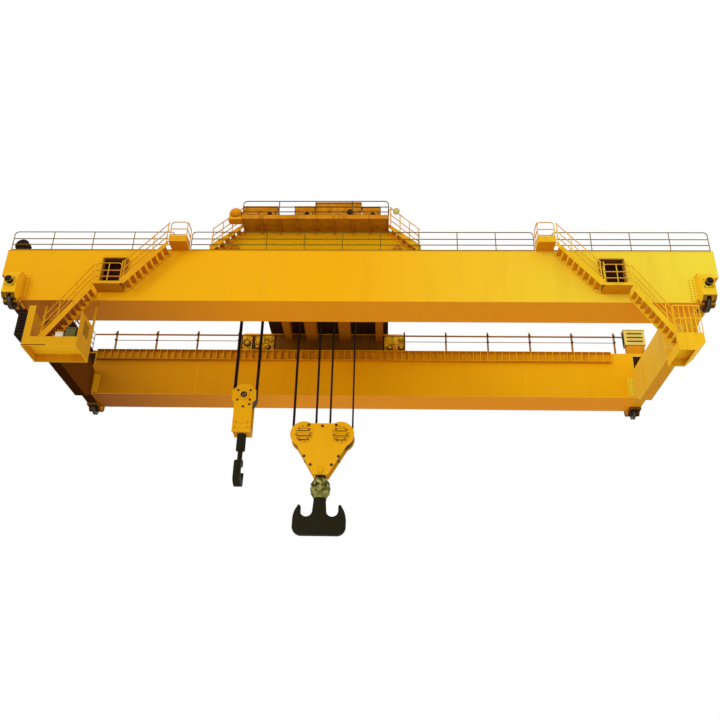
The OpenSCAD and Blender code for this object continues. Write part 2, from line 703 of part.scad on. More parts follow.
// ---- drums and drives ----
drum_l = 3200;
drum_rim = 90;
drum_flange = 60;
drum_shaft_d = 180;
aux_drum_l = 1800;
pedestal_t = 160;
pedestal_gap = 30;
left_drum_x = main_falls[0] - main_drum_r - rope_d / 2 - rope_gap;
right_drum_x = main_falls[3] + main_drum_r + rope_d / 2 + rope_gap;
aux_drum_x = aux_falls[0] - aux_drum_r - rope_d / 2 - rope_gap;
module drum(x, z, r, l) {
    half = l / 2;
    stub = half + pedestal_gap + pedestal_t + 10;
    translate([x, 0, z]) rotate([90, 0, 0]) rotate_extrude()
        polygon([[0, -stub], [drum_shaft_d / 2, -stub], [drum_shaft_d / 2, -half], [r + drum_rim, -half],
            [r + drum_rim, -half + drum_flange], [r, -half + drum_flange], [r, half - drum_flange],
            [r + drum_rim, half - drum_flange], [r + drum_rim, half], [drum_shaft_d / 2, half],
            [drum_shaft_d / 2, stub], [0, stub]]);
}
module left_main_drum() color(steel) on_trolley() drum(left_drum_x, drum_z, main_drum_r, drum_l);
module right_main_drum() color(steel) on_trolley() drum(right_drum_x, drum_z, main_drum_r, drum_l);
module aux_drum() color(steel) on_trolley() drum(aux_drum_x, aux_drum_z, aux_drum_r, aux_drum_l);

// Bearing pedestals for both ends of a drum's shaft
pedestal_cap = 160;
module pedestals(x, z, w, l) {
    for (s = [-1, 1]) {
        y = s * (l / 2 + pedestal_gap + pedestal_t / 2);
        difference() {
            slab(y - pedestal_t / 2, y + pedestal_t / 2)
                polygon([[x - w, deck_z], [x + w, deck_z], [x + 1.1 * pedestal_cap, z + pedestal_cap],
                    [x - 1.1 * pedestal_cap, z + pedestal_cap]]);
            translate([x, y - pedestal_t, z]) rotate([-90, 0, 0])
                cylinder(h = 2 * pedestal_t, d = drum_shaft_d + 2 * axle_fit);
        }
    }
}
main_case_w = 500;
main_case_d = 640;
motor_d = 600;
motor_l = 900;
aux_case = [330, 640, 330];
eq_z = deck_z + 500;
eq_r = (main_falls[2] - main_falls[1]) / 2 - rope_d / 2 - rope_gap;
eq_pin_d = 120;
stand_t = 80;
anchor_z = deck_z + 150;
module hoist_drives() color(orange) on_trolley() {
    pedestals(left_drum_x, drum_z, 420, drum_l);
    pedestals(right_drum_x, drum_z, 420, drum_l);
    pedestals(aux_drum_x, aux_drum_z, 330, aux_drum_l);
    // Gear case between the two main drums, and its motor on a block
    y = drum_l / 2 + 2 * pedestal_gap + pedestal_t + 10;
    block([left_drum_x - main_case_w, y, deck_z], [right_drum_x + main_case_w, y + main_case_d,
        drum_z + 350]);
    translate([main_x, y + main_case_d, drum_z - 200]) rotate([-90, 0, 0]) cylinder(h = motor_l,
        d = motor_d);
    block([main_x - motor_d / 2, y + main_case_d, deck_z],
        [main_x + motor_d / 2, y + main_case_d + motor_l, drum_z - 200 - motor_d * 0.4]);
    // Auxiliary gear case, round over the drum's shaft
    ya = -aux_drum_l / 2 - 2 * pedestal_gap - pedestal_t - 10;
    slab(ya - aux_case[1], ya) {
        translate([aux_drum_x, aux_drum_z]) circle(r = aux_case[0]);
        translate([aux_drum_x - aux_case[0], deck_z]) square([2 * aux_case[0], aux_drum_z - deck_z]);
        translate([aux_drum_x + 900, aux_drum_z]) circle(r = aux_case[2]);
        translate([aux_drum_x, deck_z]) square([900 + aux_case[2], aux_drum_z - deck_z]);
    }
    // Equaliser sheave between the inner falls, on its stand
    half = sheave_half + 20;
    translate([main_x, 0, eq_z]) rotate([90, 0, 0]) cylinder(h = 2 * sheave_half, r = eq_r, center = true);
    for (s = [-1, 1])
        block([main_x - eq_pin_d, s * (half + stand_t / 2) - stand_t / 2, deck_z],
            [main_x + eq_pin_d, s * (half + stand_t / 2) + stand_t / 2, eq_z + eq_pin_d]);
    translate([main_x, -half, eq_z]) rotate([-90, 0, 0]) cylinder(h = 2 * half, d = eq_pin_d);
    // Anchor of the auxiliary rope's dead end
    wide = fall_slot[0] / 2 + 40;
    long = fall_slot[1] / 2 + stand_t;
    block([aux_falls[1] - wide, -long, anchor_z], [aux_falls[1] + wide, long, anchor_z + eq_pin_d]);
    for (s = [-1, 1])
        block([aux_falls[1] - wide, s * (long - stand_t / 2) - stand_t / 2, deck_z],
            [aux_falls[1] + wide, s * (long - stand_t / 2) + stand_t / 2, anchor_z + 1]);
}

// ---- ropes ----
main_sheave_z = girder_z - main_low;
aux_sheave_z = girder_z - aux_low;
module fall(x, z0, z1) {
    for (y = rope_lanes) translate([x, y, z0]) cylinder(h = z1 - z0, d = rope_d, $fn = 8);
}
module main_ropes() color(black) on_trolley() {
    for (k = [0, 3]) fall(main_falls[k], main_sheave_z, drum_z);
    for (k = [1, 2]) fall(main_falls[k], main_sheave_z, eq_z);
}
module aux_ropes() color(black) on_trolley() {
    fall(aux_falls[0], aux_sheave_z, aux_drum_z);
    fall(aux_falls[1], aux_sheave_z, anchor_z - rope_gap);
}

// ---- sheaves ----
sheave_pin = 140;
groove_lip = 35;
groove_w = rope_d * 1.6;
groove_floor = rope_d * 0.65;
module sheave(x, z, r) {
    rim = r + groove_lip;
    root = r - rope_d / 2 - rope_gap;
    grooves = [for (y = rope_lanes, p = [[rim, -groove_w / 2], [root, -groove_floor / 2], [root,
        groove_floor / 2],
        [rim, groove_w / 2]]) [p[0], y + p[1]]];
    translate([x, 0, z]) rotate([90, 0, 0]) rotate_extrude()
        polygon(concat([[sheave_pin / 2 + axle_fit, -sheave_half], [rim, -sheave_half]], grooves,
            [[rim, sheave_half], [sheave_pin / 2 + axle_fit, sheave_half]]));
}

// ---- main hook block ----
plate_t = 50;
side_gap = 10;
plate_y = sheave_half + side_gap + plate_t / 2;
cheek = 40;
bump = 60;
boss_r = 330;
boss_t = 60;
pin_past = 80;
shank_r = 120;
shank_l = 305;
tip_w = 690;
main_tip_z = main_sheave_z - 2020;
module main_block() color(yellow) on_trolley() translate([main_x, 0, main_sheave_z]) {
    half = main_pitch / 2;
    tip = main_tip_z - main_sheave_z;
    difference() {
        union() {
            for (s = [-1, 1]) {
                translate([0, s * plate_y, 0]) slab(-plate_t / 2, plate_t / 2) {
                    hull() {
                        for (t = [-1, 1]) translate([t * half, 0])
                            circle(r = main_sheave_r + cheek - bump / 2);
                        translate([0, tip]) square([tip_w, 10], center = true);
                    }
                    for (t = [-1, 1]) translate([t * half, 0]) circle(r = main_sheave_r + cheek + bump);
                }
                for (t = [-1, 1]) translate([t * half, s * (plate_y + plate_t / 2 - 1), 0])
                    rotate([-90 * s, 0, 0])
                    cylinder(h = boss_t, r = boss_r);
            }
            for (t = [-1, 1]) translate([t * half, 0, 0]) rotate([90, 0, 0])
                cylinder(h = 2 * (plate_y + pin_past), d = sheave_pin, center = true);
            block([-shank_r * 2, -plate_y, tip - 5], [shank_r * 2, plate_y, tip + shank_l - 5]);
        }
        translate([0, 0, tip - past]) cylinder(h = shank_l * 2, r = shank_r + axle_fit);
    }
}
module left_main_sheave() color(steel) on_trolley() sheave(main_x - main_pitch / 2, main_sheave_z,
    main_sheave_r);
module right_main_sheave() color(steel) on_trolley() sheave(main_x + main_pitch / 2, main_sheave_z,
    main_sheave_r);

// Ramshorn hook. Its nut, shank, swivel bell and neck are turned. Its horns are where three
// outlines meet: their face in X and Z, their taper in X and Y, and their rounded foot in Y and Z.
neck_r = 275;
nut_r = 200;
nut_h = 145;
bay_x = 600;
bay_z = -1680;
bay_r = 280;
horn_tip_r = 80;
horn_tip_z = -1470;
horn_back_r = 1200;
horn_back_z = -2150;
horn_back_turn = 35;
bell_r = 460;
bell_z = -590;
bell_stretch = 1.3;
bell_turn = 52;
horn_base_z = -2800;
horn_corner = 420;
horn_end_t = 250;
bell = [[nut_r, shank_l + nut_h], [nut_r, shank_l + rope_gap], [shank_r, shank_l + rope_gap],
    [shank_r, -rope_gap], [neck_r, -rope_gap]];
horn_face = concat([[neck_r, -1150]], arc(bay_x, bay_z, bay_r, 180, 360, 16),
    arc(bay_x + bay_r + horn_tip_r, horn_tip_z, horn_tip_r, 180, horn_back_turn, 8),
    arc(horn_reach - horn_back_r, horn_back_z, horn_back_r, horn_back_turn, 0, 8),
    arc(horn_reach - horn_corner, horn_base_z + horn_corner, horn_corner, 0, -90, 10));
module main_hook() color(black) on_trolley() translate([main_x, 0, main_tip_z - 5]) {
    rotate_extrude() polygon(concat([[0, shank_l + nut_h]], bell,
        [for (p = arc(0, 0, bell_r, bell_turn, -bell_turn, 14)) [p[0], bell_z + p[1] * bell_stretch]],
        [[neck_r, -1150], [neck_r, bay_z], [0, bay_z]]));
    intersection() {
        slab(-horn_t / 2, horn_t / 2) polygon(concat(horn_face, flipped(horn_face)));
        translate([0, 0, horn_base_z - past]) linear_extrude(-horn_base_z) hull() {
            circle(d = horn_t);
            for (s = [-1, 1]) translate([s * (horn_reach - horn_end_t / 2), 0]) circle(d = horn_end_t);
        }
        rib(-horn_reach, horn_reach) hull() {
            for (s = [-1, 1]) translate([s * (horn_t / 2 - corner / 2), horn_base_z + corner / 2])
                circle(d = corner);
            translate([-horn_t / 2, 0]) square([horn_t, 1]);
        }
    }
}

// ---- auxiliary hook block ----
aux_tip_z = aux_sheave_z - 1950;
aux_neck_w = 900;
aux_boss_r = 240;
module aux_block() color(yellow) on_trolley() translate([aux_x, 0, aux_sheave_z]) {
    tip = aux_tip_z - aux_sheave_z;
    difference() {
        union() {
            for (s = [-1, 1]) {
                translate([0, s * plate_y, 0]) slab(-plate_t / 2, plate_t / 2) {
                    rotate(22.5) circle(r = (aux_sheave_r + cheek) / cos(22.5), $fn = 8);
                    translate([-aux_neck_w / 2, tip]) square([aux_neck_w, -tip - aux_sheave_r / 2]);
                }
                translate([0, s * (plate_y + plate_t / 2 - 1), 0]) rotate([-90 * s, 0, 0])
                    cylinder(h = boss_t, r = aux_boss_r);
            }
            rotate([90, 0, 0]) cylinder(h = 2 * (plate_y + pin_past), d = sheave_pin, center = true);
            block([-aux_neck_w / 2 + plate_t, -plate_y, tip - 5],
                [aux_neck_w / 2 - plate_t, plate_y, tip + shank_l - 5]);
        }
        translate([0, 0, tip - past]) cylinder(h = shank_l * 2, r = shank_r + axle_fit);
    }
}
module aux_sheave() color(steel) on_trolley() sheave(aux_x, aux_sheave_z, aux_sheave_r);
// Single hook, seen edge-on. Its bend lies between two circles whose centres differ, so that the
// section is deepest at the back and the foot and thins to the tip.
aux_shank_w = 450;
aux_shank_l = 820;
aux_bend_z = -1960;
aux_throat_r = 330;
aux_throat = [60, 40];
aux_hook_t = 340;
aux_bend = concat(arc(0, 0, aux_bend_r, 100, 380, 28), arc(aux_throat[0], aux_throat[1],
    aux_throat_r, 370, 120, 22));
module aux_hook() color(black) on_trolley() translate([aux_x, 0, aux_tip_z - 5]) {
    rotate_extrude() polygon([[0, shank_l + nut_h], [nut_r, shank_l + nut_h], [nut_r, shank_l + rope_gap],
        [shank_r, shank_l + rope_gap], [shank_r, -rope_gap], [aux_shank_w / 2, -rope_gap],
        [aux_shank_w / 2, -aux_shank_l], [shank_r, -aux_shank_l - 60],
        [shank_r, aux_bend_z + aux_bend_r - 2 * past], [0, aux_bend_z + aux_bend_r - 2 * past]]);
    intersection() {
        translate([0, 0, aux_bend_z]) rib(-aux_hook_t / 2, aux_hook_t / 2) union() {
            polygon(aux_bend);
            translate([-shank_r, aux_throat_r]) square([2 * shank_r, aux_bend_r - aux_throat_r]);
        }
        // Its faces are rounded towards the tip and the back
        translate([0, 0, aux_bend_z - 2 * aux_bend_r]) linear_extrude(4 * aux_bend_r) hull()
            for (s = [-1, 1]) translate([0, s * (aux_bend_r - aux_hook_t / 2)]) circle(d = aux_hook_t);
    }
}

front_girder();
rear_girder();
front_trolley_rail();
rear_trolley_rail();
left_end_carriage();
right_end_carriage();
left_end_walkway();
front_left_wheel_box();
front_right_wheel_box();
rear_left_wheel_box();
rear_right_wheel_box();
front_left_crane_wheel();
front_right_crane_wheel();
rear_left_crane_wheel();
rear_right_crane_wheel();
front_handrail();
cable_reel();
rear_rib_band();
rear_supply_line();
left_hatch_guard();
right_hatch_guard();
left_landings();
right_landings();
left_stair();
right_stair();
left_boarding_platform();
right_boarding_platform();
resistor_box();
front_side_frame();
rear_side_frame();
trolley_deck();
trolley_cross_beams();
trolley_walkway();
trolley_handrail();
left_trolley_stair();
right_trolley_stair();
control_cabinet();
hoist_drives();
front_left_trolley_wheel();
front_right_trolley_wheel();
rear_left_trolley_wheel();
rear_right_trolley_wheel();
left_main_drum();
right_main_drum();
aux_drum();
main_ropes();
aux_ropes();
main_block();
left_main_sheave();
right_main_sheave();
main_hook();
aux_block();
aux_sheave();
aux_hook();
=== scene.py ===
# %% [markdown]
# An overhead travelling crane: two box girders carry a trolley with a main and an auxiliary hoist.
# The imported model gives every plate, wheel and rope its place, in metres: X along the girders, Y
# along the runway and Z up. This script adds the paint, the steel and the small ironmongery. Most of
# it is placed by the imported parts' boxes and pins and not by numbers of its own, so that it follows
# them when the model changes.

# %% Load the frame
import bpy, bmesh, itertools, json, math
from mathutils import Matrix, Vector


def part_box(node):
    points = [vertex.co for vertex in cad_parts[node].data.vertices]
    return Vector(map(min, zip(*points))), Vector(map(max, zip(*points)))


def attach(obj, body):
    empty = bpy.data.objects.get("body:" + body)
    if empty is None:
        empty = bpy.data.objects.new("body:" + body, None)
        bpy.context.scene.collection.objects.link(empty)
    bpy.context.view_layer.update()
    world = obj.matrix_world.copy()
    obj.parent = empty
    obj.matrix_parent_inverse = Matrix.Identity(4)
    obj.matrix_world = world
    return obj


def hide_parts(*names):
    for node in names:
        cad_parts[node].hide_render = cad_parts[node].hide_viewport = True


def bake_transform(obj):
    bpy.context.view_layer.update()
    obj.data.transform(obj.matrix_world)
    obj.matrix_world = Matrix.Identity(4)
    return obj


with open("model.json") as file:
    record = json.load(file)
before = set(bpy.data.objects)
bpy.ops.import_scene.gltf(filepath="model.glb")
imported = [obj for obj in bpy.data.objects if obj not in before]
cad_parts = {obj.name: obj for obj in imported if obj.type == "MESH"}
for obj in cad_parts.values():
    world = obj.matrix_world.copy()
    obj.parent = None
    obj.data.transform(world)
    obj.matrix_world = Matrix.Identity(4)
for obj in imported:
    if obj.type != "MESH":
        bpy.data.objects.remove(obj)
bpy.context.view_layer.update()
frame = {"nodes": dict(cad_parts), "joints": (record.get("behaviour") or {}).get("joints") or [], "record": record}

# %% [markdown]
# The crane is seen from the shop floor, some forty metres off and looking up at twenty-seven degrees.
# A camera can be aimed with Euler angles, but three turns at once are hard to read. Here its three
# axes are written as vectors and put together as a matrix: the line of sight, the horizontal that
# lies across it, and a small roll about the line of sight.

# %% Camera
CAMERA_PLACE = Vector((16.8, -37.09, -18.4))
YAW, PITCH, ROLL = math.radians(-2.18), math.radians(27), math.radians(1.37)
FOCAL_TO_WIDTH = 823 / 720

ahead = Vector((math.sin(YAW) * math.cos(PITCH), math.cos(YAW) * math.cos(PITCH), math.sin(PITCH)))
level = Vector((math.cos(YAW), -math.sin(YAW), 0))
upright = level.cross(ahead)
side = level * math.cos(ROLL) + upright * math.sin(ROLL)
top = upright * math.cos(ROLL) - level * math.sin(ROLL)

scene = bpy.context.scene
scene.view_settings.view_transform = "Standard"
camera_data = bpy.data.cameras.new("camera")
camera_data.sensor_width = 36
camera_data.lens = camera_data.sensor_width * FOCAL_TO_WIDTH
camera_data.clip_end = 500
camera = bpy.data.objects.new("camera", camera_data)
scene.collection.objects.link(camera)
pose = Matrix((side, top, -ahead)).transposed().to_4x4()
pose.translation = CAMERA_PLACE
camera.matrix_world = pose
scene.camera = camera
print("lens", round(camera_data.lens, 2), "mm")

# %% [markdown]
# Light, paint and steel are all trees of shader nodes. Each node could be made, set and linked in
# lines of its own, but a tree of twenty nodes would then fill a page. These helpers make and wire a
# node in one go, and wrap the few kinds that come back in every material, so that a material reads
# like a sum.

# %% Helpers for shader nodes
def node(tree, kind, wires=(), **settings):
    """A node with its settings, and its inputs either linked to a socket or given a value."""
    made = tree.nodes.new(kind)
    for key, value in settings.items():
        setattr(made, key, value)
    for name, source in dict(wires).items():
        if hasattr(source, "is_output"):
            tree.links.new(source, made.inputs[name])
        else:
            made.inputs[name].default_value = source
    return made


def maths(tree, operation, a, b=0.0):
    return node(tree, "ShaderNodeMath", {0: a, 1: b}, operation=operation).outputs[0]


def ramp(tree, value, low, high, to_low=0.0, to_high=1.0):
    """Stretches the part of a value between low and high over a new range."""
    return node(tree, "ShaderNodeMapRange", {"Value": value, "From Min": low, "From Max": high,
        "To Min": to_low, "To Max": to_high}).outputs["Result"]


def layer(tree, amount, below, above):
    """One colour over another, as far as a mask lets it."""
    return node(tree, "ShaderNodeMix", {0: amount, 6: below, 7: above}, data_type="RGBA").outputs[2]


def object_place(tree):
    return node(tree, "ShaderNodeTexCoord").outputs["Object"]


def noise(tree, place, scale, detail, roughness=0.5):
    return node(tree, "ShaderNodeTexNoise", {"Vector": place, "Scale": scale, "Detail": detail,
        "Roughness": roughness}).outputs["Fac"]


def raised_normal(tree, height, distance=1.0, **wires):
    """The normal that a height in metres gives a surface."""
    return node(tree, "ShaderNodeBump", {"Strength": 1.0, "Distance": distance, "Height": height,
        **wires}).outputs["Normal"]


print("helpers ready")

# %% [markdown]
# Light in a workshop comes from all round, with a little more from one side. Rows of lamps could be
# hung, but a world of even grey does the first and a broad sun does the second. The camera, and
# whatever mirrors or lets light through, sees plain white instead of the grey: Light Path tells those
# rays apart.

# %% Light and background
SKY_GREY, SUN_POWER = 0.78, 0.62
WHITE = (1, 1, 1, 1)
world = bpy.data.worlds.new("workshop_light")
scene.world = world
world.use_nodes = True
tree = world.node_tree
tree.nodes.clear()
rays = node(tree, "ShaderNodeLightPath").outputs
seen = rays["Is Camera Ray"]
for kind in ("Is Glossy Ray", "Is Transmission Ray"):
    seen = maths(tree, "MAXIMUM", seen, rays[kind])
lighting = node(tree, "ShaderNodeBackground", {"Color": WHITE, "Strength": SKY_GREY}).outputs[0]
backdrop = node(tree, "ShaderNodeBackground", {"Color": WHITE, "Strength": 1}).outputs[0]
chosen = node(tree, "ShaderNodeMixShader", {0: seen, 1: lighting, 2: backdrop}).outputs[0]
node(tree, "ShaderNodeOutputWorld", {"Surface": chosen})

sun_data = bpy.data.lights.new("sun", "SUN")
sun_data.energy = SUN_POWER
sun_data.angle = math.radians(25)
sun = bpy.data.objects.new("sun", sun_data)
sun.rotation_euler = (math.radians(78), 0, math.radians(-35))
scene.collection.objects.link(sun)
print("world", SKY_GREY, "sun", SUN_POWER)

# %% [markdown]
# Colours are chosen as they look on a screen, where light values are stored on a curve, and shaders
# want them straight. Six signs for a colour keep a table of paints readable, so they are written that
# way, and each channel is taken off the curve when it is read.

# %% Screen colours
def screen(code):
    """A colour such as F0AE12 as straight red, green, blue and alpha."""
    channels = [int(code[k:k + 2], 16) / 255 for k in (0, 2, 4)]
    return (*(c / 12.92 if c <= 0.04045 else ((c + 0.055) / 1.055) ** 2.4 for c in channels), 1.0)


print("crane yellow", [round(c, 3) for c in screen("FFBA0C")])

# %% [markdown]
# A few effects come back in most of the finishes: dirt drawn downwards, fading, worn edges, painted shade on
# undersides, painted light and shade towards the two ends, and the waves of welded plate. They could be copied
# into every material, but a node group is built once, and each material asks it for its own values. A group hands
# out a mask or a normal, and the material decides what to do with it. All of them read Object coordinates, which
# here are metres in the crane's own frame, so a pattern keeps its size from piece to piece and travels with a
# moving one.

# %% Starting a node group, and placing it in a material
def start_group(name, inputs, outputs, kind="NodeSocketFloat"):
    """An empty group, what it is asked, and where its answers go."""
    group = bpy.data.node_groups.new(name, "ShaderNodeTree")
    for title, value in inputs.items():
        made = group.interface.new_socket(name=title, in_out="INPUT", socket_type="NodeSocketFloat")
        made.default_value = value
    for title in outputs:
        group.interface.new_socket(name=title, in_out="OUTPUT", socket_type=kind)
    return group, group.nodes.new("NodeGroupInput").outputs, group.nodes.new("NodeGroupOutput").inputs


def use(tree, group, **values):
    """A group's outputs in a material, with this material's own values."""
    wires = {title.replace("_", " "): value for title, value in values.items()}
    return node(tree, "ShaderNodeGroup", wires, node_tree=group).outputs


print("groups can be started")

# %% [markdown]
# Rain and oil draw dirt downwards. Noise that is drawn out tenfold along Z gives such runs, and a
# second noise, far larger and not drawn out, is the fading of wide fields of paint. A picture of dirt
# could be wrapped round every plate, but noise in metres needs no unwrapping and doesn't repeat along
# a girder.

# %% Group: streaks of dirt and fading
streaks, asked, given = start_group("streaks_and_fading",
    {"Streak Scale": 1.6, "Patch Scale": 0.25, "Patch From": 0.35, "Patch To": 0.7}, ("Streaks", "Fading"))
place = object_place(streaks)
drawn = node(streaks, "ShaderNodeMapping", {"Vector": place, "Scale": (1.0, 1.0, 0.1)}).outputs["Vector"]
runs = noise(streaks, drawn, asked["Streak Scale"], 7.0, 0.62)
patches = noise(streaks, place, asked["Patch Scale"], 3.0)
streaks.links.new(ramp(streaks, runs, 0.5, 0.78), given["Streaks"])
streaks.links.new(ramp(streaks, patches, asked["Patch From"], asked["Patch To"]), given["Fading"])
print(streaks.name, len(streaks.nodes), "nodes")

# %% [markdown]
# Edges that hands, ropes and shoes touch lose their paint first. Bevel gives the normal that a face
# would have if its edges were rounded, and wherever it differs from the true normal there is an edge.
# Noise breaks the wear up into crumbs, because a line of even width would look drawn.

# %% Group: worn edges
edges, asked, given = start_group("worn_edges", {"Width": 0.02, "Break Up": 9.0}, ("Wear",))
flat = node(edges, "ShaderNodeNewGeometry").outputs["Normal"]
rounded = node(edges, "ShaderNodeBevel", {"Radius": asked["Width"]}, samples=4).outputs["Normal"]
agreement = node(edges, "ShaderNodeVectorMath", {0: flat, 1: rounded},
    operation="DOT_PRODUCT").outputs["Value"]
crumbs = ramp(edges, noise(edges, object_place(edges), asked["Break Up"], 4.0), 0.42, 0.6)
edges.links.new(maths(edges, "MULTIPLY", ramp(edges, agreement, 0.995, 0.86), crumbs), given["Wear"])
print(edges.name, len(edges.nodes), "nodes")

# %% [markdown]
# Faces that look down stand in shade, so many paints have another colour below, mostly a darker one, which is
# painted shade. A second material for the lower faces would change at a hard line. The Z of the normal changes
# slowly on a round part and at once at an edge, as shade does.

# %% Group: which way a face looks
facing, asked, given = start_group("facing_down", {"Start": 0.15, "End": -0.85}, ("Underside",))
own_normal = node(facing, "ShaderNodeTexCoord").outputs["Normal"]
height = node(facing, "ShaderNodeSeparateXYZ", {"Vector": own_normal}).outputs["Z"]
# Faces that look down get the underside colour: painted shade.
facing.links.new(ramp(facing, height, asked["Start"], asked["End"]), given["Underside"])
print(facing.name, len(facing.nodes), "nodes")

# %% [markdown]
# Light falls more on the crane's right-hand end than on its left-hand end, and the paint carries this: painted
# light towards the right end, and painted shade towards the left. Each is a ramp along X that gives one number for
# each place and leaves the colours to the paint. Two coats that meet would show a border somewhere along the
# girder.

# %% Group: painted light and shade towards the ends
painted_ends, asked, given = start_group("painted_light_and_shade_ends",
    {"Lit From": 15.0, "Lit To": 31.0, "Dark From": 11.0, "Dark To": 0.5}, ("Painted Light", "Dark End"))
# A ramp along X for each: painted light towards the right end, and painted shade towards the left end.
along = node(painted_ends, "ShaderNodeSeparateXYZ", {"Vector": object_place(painted_ends)}).outputs["X"]
for title, word in (("Painted Light", "Lit"), ("Dark End", "Dark")):
    painted_ends.links.new(ramp(painted_ends, along, asked[word + " From"], asked[word + " To"]), given[title])
print(painted_ends.name, len(painted_ends.nodes), "nodes")

# %% [markdown]
# Welded plate is never flat: heat draws it into shallow waves about a metre long, and the paint has a
# fine grain. Modelled waves would need a dense mesh. Both only bend the light, so they are added up
# as heights in metres and given to one Bump node.

# %% Group: waves of welded plate, and the grain of the paint
plate, asked, given = start_group("plate_waves",
    {"Wave Size": 1.1, "Wave Depth": 0.012, "Grain Depth": 0.0006}, ("Normal",), "NodeSocketVector")
place = object_place(plate)
wave = maths(plate, "MULTIPLY", noise(plate, place, asked["Wave Size"], 1.0), asked["Wave Depth"])
grain = maths(plate, "MULTIPLY", noise(plate, place, 60.0, 3.0), asked["Grain Depth"])
plate.links.new(raised_normal(plate, maths(plate, "ADD", wave, grain)), given["Normal"])
print(plate.name, len(plate.nodes), "nodes")

# %% [markdown]
# The paint is one coat over primer: a warm yellow on the webs, and a deeper orange underneath, which is painted
# shade. Painted light towards the right end, painted shade towards the left end, faded, dirty and worn places are
# laid over it one after the other, each through a mask. Every paint on the crane is this same stack with six other
# colours, so one function makes them all. The gloss is kept low: at a slant, a shiny coat would mirror the sky and
# wash the colour out.

# %% Painted steel
def start_material(name, gloss):
    material = bpy.data.materials.new(name)
    material.use_nodes = True
    shader = material.node_tree.nodes["Principled BSDF"].inputs
    shader["Specular IOR Level"].default_value = gloss
    return material, material.node_tree, shader


def paint(name, colours, roughness=0.45, streak=0.3, wear=0.4, waves=0.01, scale=1.6, start=0.15,
        side_dark=0.0, patch=0.25, fade=0.05, shine=0.03, blots=(0.35, 0.7)):
    """A coat in six colours: new, painted light at the right end, underside, underside at the left end, dirt and
    worn. The underside colours are painted shade where they are darker than the new colour, and painted light
    where they are paler.
    """
    new, painted_light, under, shade, dirt, worn = (screen(code) for code in colours.split())
    material, tree, shader = start_material(name, shine)
    weather = use(tree, streaks, Streak_Scale=scale, Patch_Scale=patch, Patch_From=blots[0],
        Patch_To=blots[1])
    ends = use(tree, painted_ends)
    # Painted light towards the right end; painted shade towards the left end, which reaches the sides as far as
    # side_dark lets it.
    above = layer(tree, ends["Painted Light"], new, painted_light)
    above = layer(tree, maths(tree, "MULTIPLY", ends["Dark End"], side_dark), above, shade)
    above = layer(tree, maths(tree, "MULTIPLY", weather["Fading"], fade), above, worn)
    # Underneath: the two underside colours, which are painted shade, and painted light where they are paler than
    # the new colour.
    below = layer(tree, ends["Dark End"], under, shade)
    mixed = layer(tree, use(tree, facing, Start=start)["Underside"], above, below)
    grime = maths(tree, "MULTIPLY", weather["Streaks"], streak)
    bright = maths(tree, "MULTIPLY", use(tree, edges)["Wear"], wear)
    tree.links.new(layer(tree, bright, layer(tree, grime, mixed, dirt), worn), shader["Base Color"])
    roughened = maths(tree, "MULTIPLY", maths(tree, "ADD", grime, bright), 0.4)
    tree.links.new(maths(tree, "ADD", roughened, roughness), shader["Roughness"])
    tree.links.new(use(tree, plate, Wave_Depth=waves)["Normal"], shader["Normal"])
    return material


print("a coat of paint can be made")
